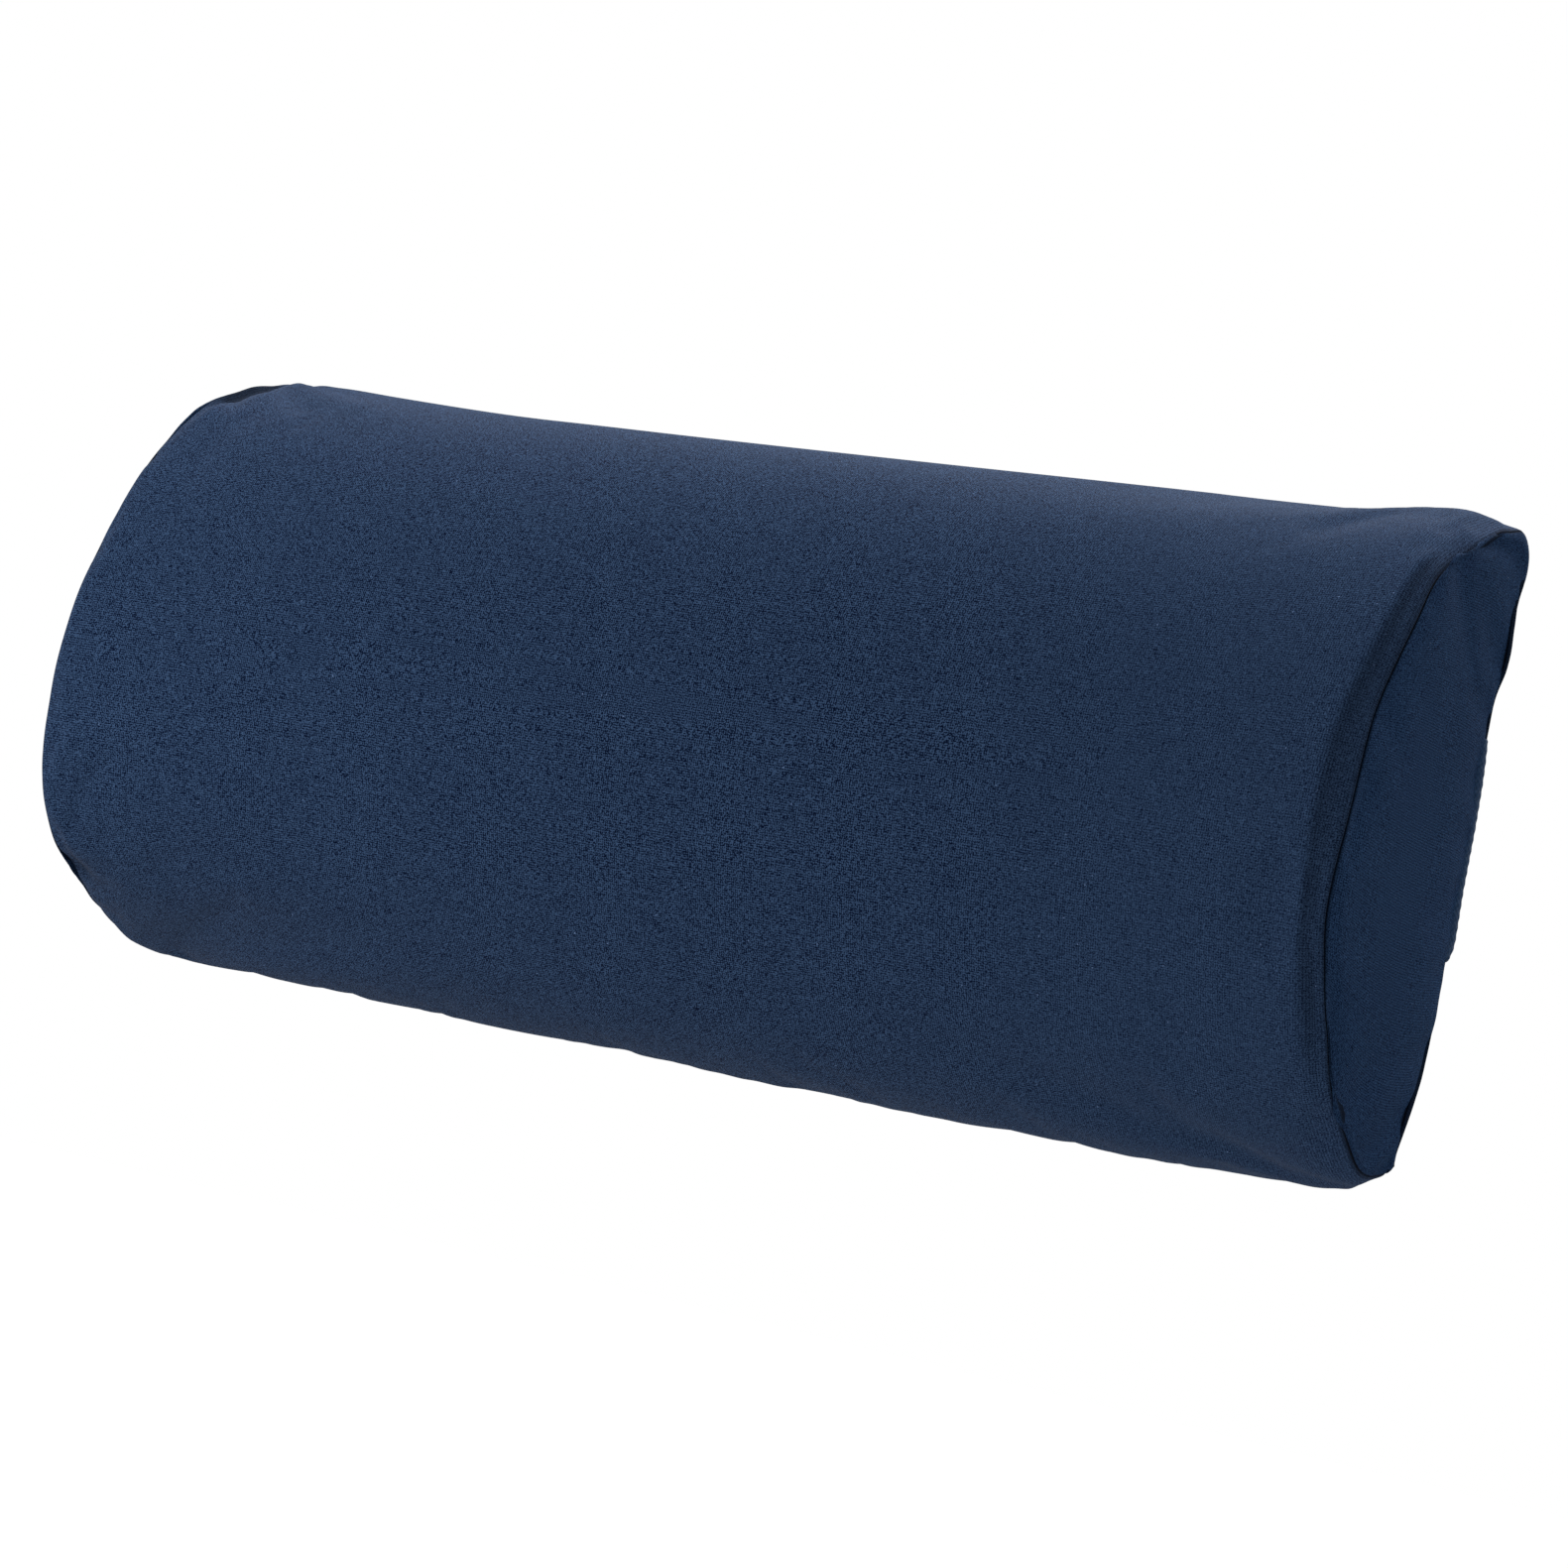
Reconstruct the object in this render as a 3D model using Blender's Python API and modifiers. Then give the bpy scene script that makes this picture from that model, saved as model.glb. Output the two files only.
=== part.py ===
"""Lumbar support cushion: a half-moon foam block in a sewn, zipped cover with an elastic strap.

X runs along the cushion, +Y points back towards the chair's backrest and +Z is up. The origin is at the
centre of the flat back. Everything is in metres.
"""
from math import cos, pi, sin

import bmesh
import bpy
from mathutils import Vector

# Cushion
LENGTH = 0.356
HEIGHT = 0.155
DEPTH = 0.070
EDGE_RADIUS = 0.008
FABRIC = 0.0010
GAP = 0.0003
CROWN_STEPS = 40
EDGE_STEPS = 5

# Zip, across the back near its lower edge
ZIP_Z = -0.048
ZIP_SLIT = 0.0090
TAPE_WIDTH = 0.0120
TAPE_THICKNESS = 0.0008
COIL_GAP = 0.0016
COIL_WIDTH = 0.0022
COIL_HEIGHT = 0.0020
STOP_LENGTH = 0.0026
GROOVE_DEPTH = 0.0042

# Slider and its pull
SLIDER_LENGTH = 0.0110
SLIDER_WIDTH = 0.0082
PLATE_THICKNESS = 0.0010
WEB_LENGTH = 0.0036
WEB_WIDTH = 0.0009
BRIDGE_LENGTH = 0.0056
BRIDGE_WIDTH = 0.0016
BRIDGE_THICKNESS = 0.0008
PULL_LENGTH = 0.0260
PULL_WIDTH = 0.0062
PULL_EYE_WIDTH = 0.0046
PULL_THICKNESS = 0.0009
PULL_BAR = 0.0011
EYE_LENGTH = 0.0038
EYE_WIDTH = 0.0026

# Elastic strap
STRAP_Z = 0.005
STRAP_WIDTH = 0.050
STRAP_THICKNESS = 0.0016
STRAP_END = 0.030
STRAP_BED = 0.0003

# Places worked out from the sizes above
END_INNER = LENGTH / 2 - FABRIC
PANEL_HALF = END_INNER - GAP
FOAM_INSET = FABRIC + GAP
BACK_TOP = HEIGHT / 2 - EDGE_RADIUS
TAPE_FRONT = -FABRIC - GAP
COIL_BOTTOM = TAPE_FRONT + GAP
COIL_TOP = COIL_BOTTOM + COIL_HEIGHT
CHAIN_HALF = PANEL_HALF - 0.0040
SLIDER_CLOSED_X = CHAIN_HALF - STOP_LENGTH - GAP - SLIDER_LENGTH / 2 - GAP
OUTER_PLATE_BOTTOM = COIL_TOP + GAP
OUTER_PLATE_TOP = OUTER_PLATE_BOTTOM + PLATE_THICKNESS
INNER_PLATE_TOP = TAPE_FRONT - TAPE_THICKNESS - GAP
PULL_AXIS_Y = OUTER_PLATE_TOP + 0.0012
BRIDGE_HEIGHT = 0.0022 + BRIDGE_THICKNESS


def clear_scene():
    for item in list(bpy.data.objects):
        bpy.data.objects.remove(item, do_unlink=True)


def new_collection(name):
    group = bpy.data.collections.new(name)
    bpy.context.scene.collection.children.link(group)
    return group


def material(name, colour, roughness, metallic=0.0):
    made = bpy.data.materials.new(name)
    made.use_nodes = True
    shader = made.node_tree.nodes["Principled BSDF"]
    shader.inputs["Base Color"].default_value = (*colour, 1.0)
    shader.inputs["Roughness"].default_value = roughness
    shader.inputs["Metallic"].default_value = metallic
    return made


def place(item, group, finish):
    """Move an object into one collection and give it one material."""
    for old in list(item.users_collection):
        old.objects.unlink(item)
    group.objects.link(item)
    item.data.materials.clear()
    item.data.materials.append(finish)
    return item


def half_moon(inset):
    """Points (y, z) of the cushion's section, moved inwards, from the back's top round to its bottom."""
    radius = EDGE_RADIUS - inset
    depth = DEPTH - EDGE_RADIUS
    half = HEIGHT / 2
    points = []
    for step in range(EDGE_STEPS + 1):
        turn = pi / 2 * step / EDGE_STEPS
        points.append((-EDGE_RADIUS + radius * cos(turn), BACK_TOP + radius * sin(turn)))
    for step in range(1, CROWN_STEPS):
        turn = pi / 2 - pi * step / CROWN_STEPS
        normal = Vector((-cos(turn) / depth, sin(turn) / half)).normalized()
        y = -EDGE_RADIUS - depth * cos(turn) - inset * normal.x
        z = half * sin(turn) - inset * normal.y
        points.append((y, z))
    for step in range(EDGE_STEPS + 1):
        turn = pi / 2 * (EDGE_STEPS - step) / EDGE_STEPS
        points.append((-EDGE_RADIUS + radius * cos(turn), -BACK_TOP - radius * sin(turn)))
    return points


def outline_object(name, outlines, thickness):
    """A flat plate from closed outlines in the local XY plane; a second outline is a hole."""
    curve = bpy.data.curves.new(name, "CURVE")
    curve.dimensions = "2D"
    curve.fill_mode = "BOTH"
    curve.extrude = thickness / 2
    for outline in outlines:
        spline = curve.splines.new("POLY")
        spline.points.add(len(outline) - 1)
        for point, (x, y) in zip(spline.points, outline):
            point.co = (x, y, 0.0, 1.0)
        spline.use_cyclic_u = True
    item = bpy.data.objects.new(name, curve)
    bpy.context.scene.collection.objects.link(item)
    return item


def to_mesh(item):
    """Turn a curve object into a closed mesh object of the same name and place."""
    bpy.context.view_layer.update()
    evaluated = item.evaluated_get(bpy.context.evaluated_depsgraph_get())
    mesh = bpy.data.meshes.new_from_object(evaluated)
    shape = bmesh.new()
    shape.from_mesh(mesh)
    bmesh.ops.remove_doubles(shape, verts=shape.verts, dist=0.00001)
    shape.to_mesh(mesh)
    shape.free()
    name = item.name
    matrix = item.matrix_world.copy()
    bpy.data.objects.remove(item, do_unlink=True)
    made = bpy.data.objects.new(name, mesh)
    made.matrix_world = matrix
    bpy.context.scene.collection.objects.link(made)
    return made


def block(name, low, high, bevel=0.0):
    """A box between two corners, with its edges bevelled if asked."""
    low = Vector(low)
    high = Vector(high)
    bpy.ops.mesh.primitive_cube_add(size=1.0, location=(low + high) / 2)
    item = bpy.context.object
    item.name = name
    item.scale = high - low
    bpy.ops.object.transform_apply(location=False, rotation=False, scale=True)
    if bevel:
        rounding = item.modifiers.new("Rounded edges", "BEVEL")
        rounding.width = bevel
        rounding.segments = 2
    return item


def boolean(item, other, operation):
    """Unite an object with a helper or cut the helper out of it, and hide the helper."""
    change = item.modifiers.new(operation.title() + " " + other.name, "BOOLEAN")
    change.operation = operation
    change.object = other
    other.hide_render = True
    other.display_type = "WIRE"


def make_foam_core(parts, finish):
    """The foam block, with a shallow groove along its back that clears the zip."""
    outline = half_moon(FOAM_INSET)
    back = -FOAM_INSET
    reach = COIL_GAP / 2 + TAPE_WIDTH + 2 * GAP
    groove = [
        (back, ZIP_Z - reach),
        (back - GROOVE_DEPTH, ZIP_Z - reach),
        (back - GROOVE_DEPTH, ZIP_Z + reach),
        (back, ZIP_Z + reach),
    ]
    foam = outline_object("foam_core", [outline + groove], 2 * (PANEL_HALF - GAP))
    foam.rotation_euler = (pi / 2, 0.0, pi / 2)
    return place(foam, parts, finish)


def make_crown_panel(parts, finish):
    """The curved cover panel: an open sheet round the section, thickened inwards."""
    shape = bmesh.new()
    row = [shape.verts.new((-PANEL_HALF, y, z)) for y, z in half_moon(0.0)]
    edges = [shape.edges.new(pair) for pair in zip(row, row[1:])]
    swept = bmesh.ops.extrude_edge_only(shape, edges=edges)["geom"]
    moved = [piece for piece in swept if isinstance(piece, bmesh.types.BMVert)]
    bmesh.ops.translate(shape, verts=moved, vec=(2 * PANEL_HALF, 0.0, 0.0))
    bmesh.ops.recalc_face_normals(shape, faces=shape.faces)
    if sum(face.normal.y * face.calc_area() for face in shape.faces) > 0:
        bmesh.ops.reverse_faces(shape, faces=shape.faces)
    mesh = bpy.data.meshes.new("crown_panel")
    shape.to_mesh(mesh)
    shape.free()
    mesh.shade_smooth()
    panel = bpy.data.objects.new("crown_panel", mesh)
    bpy.context.scene.collection.objects.link(panel)
    cloth = panel.modifiers.new("Fabric thickness", "SOLIDIFY")
    cloth.thickness = FABRIC
    cloth.offset = -1.0
    return place(panel, parts, finish)


def make_end_panel(name, side, parts, finish):
    """A half-moon end panel."""
    panel = outline_object(name, [half_moon(0.0)], FABRIC)
    panel.rotation_euler = (pi / 2, 0.0, pi / 2)
    panel.location.x = side * (LENGTH / 2 - FABRIC / 2)
    return place(panel, parts, finish)


def make_back_panel(name, low_z, high_z, parts, finish):
    """A flat strip of the back: an open sheet, thickened inwards."""
    middle = (low_z + high_z) / 2
    bpy.ops.mesh.primitive_plane_add(size=1.0, location=(0.0, 0.0, middle), rotation=(-pi / 2, 0.0, 0.0))
    panel = bpy.context.object
    panel.name = name
    panel.scale = (2 * PANEL_HALF, high_z - low_z, 1.0)
    bpy.ops.object.transform_apply(location=False, rotation=True, scale=True)
    cloth = panel.modifiers.new("Fabric thickness", "SOLIDIFY")
    cloth.thickness = FABRIC
    cloth.offset = -1.0
    return place(panel, parts, finish)


def press_in_strap_bed(panel, helpers, finish):
    """The shallow bed that the elastic presses into the back panel."""
    low_z = STRAP_Z - STRAP_WIDTH / 2 - 2 * GAP
    high_z = STRAP_Z + STRAP_WIDTH / 2 + 2 * GAP
    bed = block("strap_bed", (-LENGTH / 2, -STRAP_BED, low_z), (LENGTH / 2, STRAP_THICKNESS, high_z))
    place(bed, helpers, finish)
    boolean(panel, bed, "DIFFERENCE")


def make_zip_side(word, side, parts, tape_finish, coil_finish):
    """One tape and its coil; side is +1 above the slit and -1 below it."""
    inner = ZIP_Z + side * COIL_GAP / 2
    tape_edges = sorted((inner, inner + side * TAPE_WIDTH))
    coil_edges = sorted((inner, inner + side * COIL_WIDTH))
    tape = block(
        word + "_zipper_tape",
        (-PANEL_HALF + GAP, TAPE_FRONT - TAPE_THICKNESS, tape_edges[0]),
        (PANEL_HALF - GAP, TAPE_FRONT, tape_edges[1]),
    )
    coil_half = CHAIN_HALF - STOP_LENGTH - GAP
    coil = block(
        word + "_zipper_coil",
        (-coil_half, COIL_BOTTOM, coil_edges[0]),
        (coil_half, COIL_TOP, coil_edges[1]),
        bevel=0.0006,
    )
    place(tape, parts, tape_finish)
    place(coil, parts, coil_finish)


def make_zip_stop(name, side, parts, finish):
    """A metal stop clamped over both coils' ends."""
    inner = CHAIN_HALF - STOP_LENGTH
    ends = sorted((side * inner, side * CHAIN_HALF))
    reach = COIL_GAP / 2 + COIL_WIDTH + GAP / 2
    low = (ends[0], COIL_BOTTOM, ZIP_Z - reach)
    high = (ends[1], COIL_TOP + GAP, ZIP_Z + reach)
    return place(block(name, low, high, bevel=0.0004), parts, finish)


def bridge_outline():
    """Side view of the slider's bridge: an arch that stands on the outer plate, along X."""
    steps = 8
    outer = []
    inner = []
    for step in range(steps + 1):
        turn = pi * step / steps
        outer.append((BRIDGE_LENGTH / 2 * cos(turn), BRIDGE_HEIGHT * sin(turn) ** 0.5))
        opening = BRIDGE_LENGTH / 2 - BRIDGE_THICKNESS
        inner.append((opening * cos(turn), (BRIDGE_HEIGHT - BRIDGE_THICKNESS) * sin(turn) ** 0.5))
    foot = -PLATE_THICKNESS / 2
    left_foot = [(outer[-1][0], foot), (inner[-1][0], foot)]
    right_foot = [(inner[0][0], foot), (outer[0][0], foot)]
    return outer + left_foot + inner[::-1] + right_foot


def make_slider(parts, helpers, finish):
    """Two plates joined by a web that runs between the coils, with a bridge for the pull."""
    x = SLIDER_CLOSED_X
    half = SLIDER_LENGTH / 2
    wide = SLIDER_WIDTH / 2
    slider = block(
        "zipper_slider",
        (x - half, OUTER_PLATE_BOTTOM, ZIP_Z - wide),
        (x + half, OUTER_PLATE_TOP, ZIP_Z + wide),
    )
    inner_plate = block(
        "slider_inner_plate",
        (x - half, INNER_PLATE_TOP - PLATE_THICKNESS, ZIP_Z - wide),
        (x + half, INNER_PLATE_TOP, ZIP_Z + wide),
    )
    web = block(
        "slider_web",
        (x - WEB_LENGTH / 2, INNER_PLATE_TOP - PLATE_THICKNESS / 2, ZIP_Z - WEB_WIDTH / 2),
        (x + WEB_LENGTH / 2, OUTER_PLATE_BOTTOM + PLATE_THICKNESS / 2, ZIP_Z + WEB_WIDTH / 2),
    )
    bridge = outline_object("slider_bridge", [bridge_outline()], BRIDGE_WIDTH)
    bridge.location = (x, OUTER_PLATE_TOP, ZIP_Z)
    bridge = to_mesh(bridge)
    for helper in (inner_plate, web, bridge):
        boolean(slider, helper, "UNION")
        place(helper, helpers, finish)
    return place(slider, parts, finish)


def pull_outline():
    """The tab, in its own XY plane with the hinge bar along Y at the origin, reaching towards -X."""
    steps = 6
    end_radius = PULL_WIDTH / 2
    end_centre = PULL_BAR / 2 - PULL_LENGTH + end_radius
    points = []
    for step in range(2 * steps + 1):
        turn = pi / 2 + pi * step / (2 * steps)
        points.append((end_centre + end_radius * cos(turn), end_radius * sin(turn)))
    corner = 0.0008
    half = PULL_EYE_WIDTH / 2
    neck = -PULL_BAR / 2 - EYE_LENGTH - 0.0016
    points.append((neck - 0.0030, -end_radius))
    points.append((neck, -half))
    points.append((PULL_BAR / 2 - corner, -half))
    points.append((PULL_BAR / 2, -half + corner))
    points.append((PULL_BAR / 2, half - corner))
    points.append((PULL_BAR / 2 - corner, half))
    points.append((neck, half))
    points.append((neck - 0.0030, end_radius))
    return points


def eye_outline():
    """The hole in the tab that the slider's bridge passes through."""
    near = -PULL_BAR / 2
    far = near - EYE_LENGTH
    half = EYE_WIDTH / 2
    return [(near, -half), (near, half), (far, half), (far, -half)]


def make_pull(parts, finish):
    """The pull tab, lying back along the closed zip, with its origin on its hinge axis."""
    pull = outline_object("zipper_pull", [pull_outline(), eye_outline()], PULL_THICKNESS)
    pull.rotation_euler = (pi / 2, 0.0, 0.0)
    pull.location = (SLIDER_CLOSED_X, PULL_AXIS_Y, ZIP_Z)
    return place(pull, parts, finish)


def make_strap(parts, finish):
    """The elastic strap: a middle that can move back and two ends sewn down at the end seams."""
    low_z = STRAP_Z - STRAP_WIDTH / 2
    high_z = STRAP_Z + STRAP_WIDTH / 2
    front = GAP - STRAP_BED
    back = front + STRAP_THICKNESS
    middle_half = LENGTH / 2 - STRAP_END - GAP / 2
    middle = block(
        "strap_middle", (-middle_half, front, low_z), (middle_half, back, high_z), bevel=0.0004
    )
    place(middle, parts, finish)
    for name, side in (("strap_left_end", -1), ("strap_right_end", 1)):
        edges = sorted((side * (middle_half + GAP), side * LENGTH / 2))
        end = block(name, (edges[0], front, low_z), (edges[1], back, high_z), bevel=0.0004)
        place(end, parts, finish)


def build():
    clear_scene()
    parts = new_collection("lumbar_support_cushion")
    helpers = new_collection("helpers")
    cover = material("Cover fabric", (0.022, 0.037, 0.075), 0.90)
    end_fabric = material("End panel fabric", (0.014, 0.027, 0.058), 0.92)
    foam = material("Foam", (0.80, 0.76, 0.62), 0.95)
    tape = material("Zip tape", (0.012, 0.018, 0.034), 0.85)
    coil = material("Zip coil", (0.010, 0.015, 0.028), 0.45)
    metal = material("Zip metal", (0.30, 0.31, 0.33), 0.35, metallic=1.0)
    elastic = material("Elastic strap", (0.012, 0.025, 0.054), 0.85)

    make_foam_core(parts, foam)
    make_crown_panel(parts, cover)
    make_end_panel("left_end_panel", -1, parts, end_fabric)
    make_end_panel("right_end_panel", 1, parts, end_fabric)
    upper_panel = make_back_panel(
        "upper_back_panel", ZIP_Z + ZIP_SLIT / 2, BACK_TOP - GAP, parts, cover
    )
    press_in_strap_bed(upper_panel, helpers, cover)
    make_back_panel("lower_back_panel", -BACK_TOP + GAP, ZIP_Z - ZIP_SLIT / 2, parts, cover)
    make_zip_side("upper", 1, parts, tape, coil)
    make_zip_side("lower", -1, parts, tape, coil)
    make_zip_stop("left_zipper_stop", -1, parts, metal)
    make_zip_stop("right_zipper_stop", 1, parts, metal)
    make_slider(parts, helpers, metal)
    make_pull(parts, metal)
    make_strap(parts, elastic)


build()
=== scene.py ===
"""Looks for the lumbar support cushion: a sewn, foam-filled cover, its zip and its elastic strap.

X runs along the cushion, +Y is the back and +Z is up, in metres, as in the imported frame.
"""
from functools import partial
from math import cos, pi, radians, sin

import bmesh
import bpy
import numpy as np
from mathutils import Matrix, Vector


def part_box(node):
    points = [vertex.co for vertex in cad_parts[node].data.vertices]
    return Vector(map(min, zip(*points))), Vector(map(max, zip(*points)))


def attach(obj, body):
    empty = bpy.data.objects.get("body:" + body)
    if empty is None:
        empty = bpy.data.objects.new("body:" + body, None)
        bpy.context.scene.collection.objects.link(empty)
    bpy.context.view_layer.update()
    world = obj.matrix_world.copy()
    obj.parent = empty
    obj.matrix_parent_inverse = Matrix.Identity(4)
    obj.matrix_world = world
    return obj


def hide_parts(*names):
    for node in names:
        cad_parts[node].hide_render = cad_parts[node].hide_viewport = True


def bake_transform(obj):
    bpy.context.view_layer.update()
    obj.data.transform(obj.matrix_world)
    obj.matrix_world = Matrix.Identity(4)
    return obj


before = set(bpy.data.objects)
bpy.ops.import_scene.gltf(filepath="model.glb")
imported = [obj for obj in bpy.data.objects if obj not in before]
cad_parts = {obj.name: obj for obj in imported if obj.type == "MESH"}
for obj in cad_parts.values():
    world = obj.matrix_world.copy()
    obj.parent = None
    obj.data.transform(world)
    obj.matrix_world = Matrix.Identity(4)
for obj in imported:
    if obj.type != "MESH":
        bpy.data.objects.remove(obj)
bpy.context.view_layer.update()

rng = np.random.default_rng(7)

# ---------------- sizes, read from the frame
crown_low, crown_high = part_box("crown_panel")
upper_low, upper_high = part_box("upper_back_panel")
strap_low, strap_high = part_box("strap_middle")
coil_low, coil_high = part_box("upper_zipper_coil")
tape_low, tape_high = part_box("upper_zipper_tape")
slider_low, slider_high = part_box("zipper_slider")

HALF_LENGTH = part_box("right_end_panel")[1].x
HALF_HEIGHT = crown_high.z
DEPTH = -crown_low.y
EDGE_RADIUS = HALF_HEIGHT - upper_high.z
SLIT_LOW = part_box("lower_back_panel")[1].z
SLIT_HIGH = upper_low.z
ZIP_Z = (SLIT_LOW + SLIT_HIGH) / 2
STRAP_Z = (strap_low.z + strap_high.z) / 2

# ---------------- the cover's cloth grid
LENGTH_CELLS = 112
BACK_CELLS = 44
SLIT_CELLS = 3
LOWER_CELLS = 5
SIDE_CELLS = 16
CROWN_CELLS = BACK_CELLS + 2 * SIDE_CELLS
START_INSET = 0.0003


def unit(vectors):
    """The same vectors, one unit long."""
    return vectors / np.maximum(np.linalg.norm(vectors, axis=-1), 1e-12)[..., None]


def half_moon(inset):
    """Dense points (y, z) of the section, moved inwards, from the back's top round to its bottom."""
    radius = EDGE_RADIUS - inset
    depth = DEPTH - EDGE_RADIUS
    back_top = HALF_HEIGHT - EDGE_RADIUS
    turn = np.linspace(0, pi / 2, 30)
    top = np.stack([-EDGE_RADIUS + radius * np.cos(turn), back_top + radius * np.sin(turn)], 1)
    turn = np.linspace(pi / 2, -pi / 2, 400)[1:-1]
    normal = unit(np.stack([-np.cos(turn) / depth, np.sin(turn) / HALF_HEIGHT], 1))
    crown = np.stack([-EDGE_RADIUS - depth * np.cos(turn), HALF_HEIGHT * np.sin(turn)], 1) - inset * normal
    return np.concatenate([top, crown, top[::-1] * (1, -1)])


def running(steps):
    """The distance covered before each step and after the last one."""
    return np.concatenate([[0], np.cumsum(steps)])


def spaced(points, cells):
    """The same line with evenly spaced points."""
    run = running(np.linalg.norm(np.diff(points, axis=0), axis=1))
    wanted = np.linspace(0, run[-1], cells + 1)
    return np.stack([np.interp(wanted, run, points[:, k]) for k in range(points.shape[1])], 1)


SECTION = spaced(half_moon(START_INSET), CROWN_CELLS)

# How full the cover is: millimetres that it stands out from the frame's section, at places round the
# section from the back's top edge (0), over the crown, to the back's bottom edge (1).
PLACES = (0, 0.025, 0.05, 0.08, 0.125, 0.2, 0.25, 0.3, 0.375, 0.45, 0.5,
          0.55, 0.6, 0.65, 0.7, 0.75, 0.8, 0.85, 0.9, 0.95, 0.975, 1)
MIDDLE_FULL = (-2.4, -2.1, -1.6, -1.3, -1.0, -0.7, -0.3, 0.2, 0.8, 1.0, 1.0,
               1.0, 1.0, 1.0, 1.0, 1.1, 1.3, 1.4, 1.2, 1.2, 1.1, 0.5)
LEFT_FULL = (0, 2.9, 4.0, 3.5, 2.4, 0.2, -0.7, -0.6, -0.8, 0.6, 1.9,
             3.0, 3.9, 5.6, 6.2, 3.9, 0.9, -0.1, 0.1, 0.1, 0.1, 0)
RIGHT_FULL = (-0.2, 2.0, 2.4, 2.3, 2.0, 1.6, 1.4, 1.5, 2.0, 2.8, 3.3,
              4.0, 4.5, 3.2, 2.5, 2.0, 1.4, 1.0, 0.2, -2.2, -3.7, -4.4)
LEFT_DROP = (0, 0.3, 0.6, 2.4, 2.2, 1.5, 1.5, 1.5, 1.5, 1.5, 1.5,
             1.5, 1.5, 1.3, 1.3, 1.3, 1.5, 1.5, 1.5, 1.0, 1.0, 0)
RIGHT_DROP = (0, 1.2, 2.2, 3.5, 4.7, 5.2, 2.3, 2.3, 2.3, 2.3, 2.1,
              1.7, 1.6, 1.9, 2.5, 2.0, 3.9, 4.5, 3.1, 4.6, 3.9, 0)
# Heights on the back and how far its edge stands out at the ends there, in millimetres.
BACK_HEIGHTS = (-69.5, -61, -46, -36, -23, -15, 0, 20, 30, 38, 45, 55, 64, 69.5)
BACK_EDGE = (-7.0, -4.0, 0.2, 2.4, 1.5, 0.8, 0.3, -1.2, -3.0, -3.4, -1.0, -3.3, -5.3, -5.2)
# How far along the cushion the right end's fullness and the back's edge reach, and the left end's.
END_REACH = 0.070
LEFT_REACH = 0.100
EDGE_FADE = 0.012
END_SHARPNESS = 3


def by_place(table, count):
    """A table's values, in metres, at count evenly spaced places round the section."""
    knots = np.array(table)[:, None] * 0.001
    return cubic(knots, np.interp(np.linspace(0, 1, count), PLACES, np.arange(len(PLACES))))[:, 0]


def section_normals(section):
    """Unit normals (y, z) of a section, pointing out of the cushion."""
    ahead = np.gradient(section, axis=0)
    normal = unit(np.stack([ahead[:, 1], -ahead[:, 0]], 1))
    return -normal if normal[len(normal) // 2, 0] > 0 else normal


SECTION_NORMALS = section_normals(SECTION)


def back_rise(x, height):
    """How far the back stands out of its plane near the ends, at places along and up it."""
    near = 1 - smoothstep(0, END_REACH, HALF_LENGTH - np.abs(x))
    return near ** END_SHARPNESS * np.interp(height * 1000, BACK_HEIGHTS, BACK_EDGE) * 0.001


def end_sides(line):
    """The stretches of a line round the crown that lie on an end panel's crown, low and high sides."""
    crown_side = line[SIDE_CELLS:CROWN_CELLS - SIDE_CELLS + 1][::-1]
    return crown_side, line[CROWN_CELLS - SIDE_CELLS:][::-1], line[:SIDE_CELLS + 1]


def start_grids():
    """The crown, back and end grids of the filled cover that the simulation starts from."""
    x = np.linspace(-HALF_LENGTH, HALF_LENGTH, LENGTH_CELLS + 1)
    count = CROWN_CELLS + 1
    left = smoothstep(HALF_LENGTH - LEFT_REACH, HALF_LENGTH, -x)[:, None]
    right = smoothstep(HALF_LENGTH - END_REACH, HALF_LENGTH, x)[:, None]
    full = (1 - left - right) * by_place(MIDDLE_FULL, count) + left * by_place(LEFT_FULL, count)
    full = full + right * by_place(RIGHT_FULL, count)
    crown = np.zeros((LENGTH_CELLS + 1, count, 3))
    crown[:, :, 0] = x[:, None]
    crown[:, :, 1:] = SECTION[None] + full[:, :, None] * SECTION_NORMALS[None]
    levels = np.concatenate([
        np.linspace(SECTION[-1, 1], SLIT_LOW, LOWER_CELLS + 1),
        np.linspace(SLIT_LOW, SLIT_HIGH, SLIT_CELLS + 1)[1:],
        np.linspace(SLIT_HIGH, SECTION[0, 1], BACK_CELLS - LOWER_CELLS - SLIT_CELLS + 1)[1:],
    ])
    back = np.zeros((LENGTH_CELLS + 1, BACK_CELLS + 1, 3))
    back[:, :, 0] = x[:, None]
    inside = np.minimum(levels - levels[0], levels[-1] - levels)[None]
    edge_fade = 1 - smoothstep(0, EDGE_FADE, inside)
    lower_edge = np.where(levels < 0, crown[:, -1:, 1], crown[:, :1, 1])
    rise = back_rise(x[:, None], levels[None])
    back[:, :, 1] = rise * (1 - edge_fade) + edge_fade * lower_edge - START_INSET
    back[:, :, 2] = levels[None]
    back[:, 0] = crown[:, -1]
    back[:, -1] = crown[:, 0]
    ends = []
    for row in (0, LENGTH_CELLS):
        back_side = back[row]
        crown_side, low_side, high_side = end_sides(crown[row])
        u = np.linspace(0, 1, BACK_CELLS + 1)[:, None, None]
        v = np.linspace(0, 1, SIDE_CELLS + 1)[None, :, None]
        patch = (1 - v) * back_side[:, None] + v * crown_side[:, None]
        patch = patch + (1 - u) * low_side[None] + u * high_side[None]
        corners = (1 - u) * ((1 - v) * low_side[0] + v * low_side[-1])
        corners = corners + u * ((1 - v) * high_side[0] + v * high_side[-1])
        ends.append(patch - corners)
    return crown, back, ends


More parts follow.
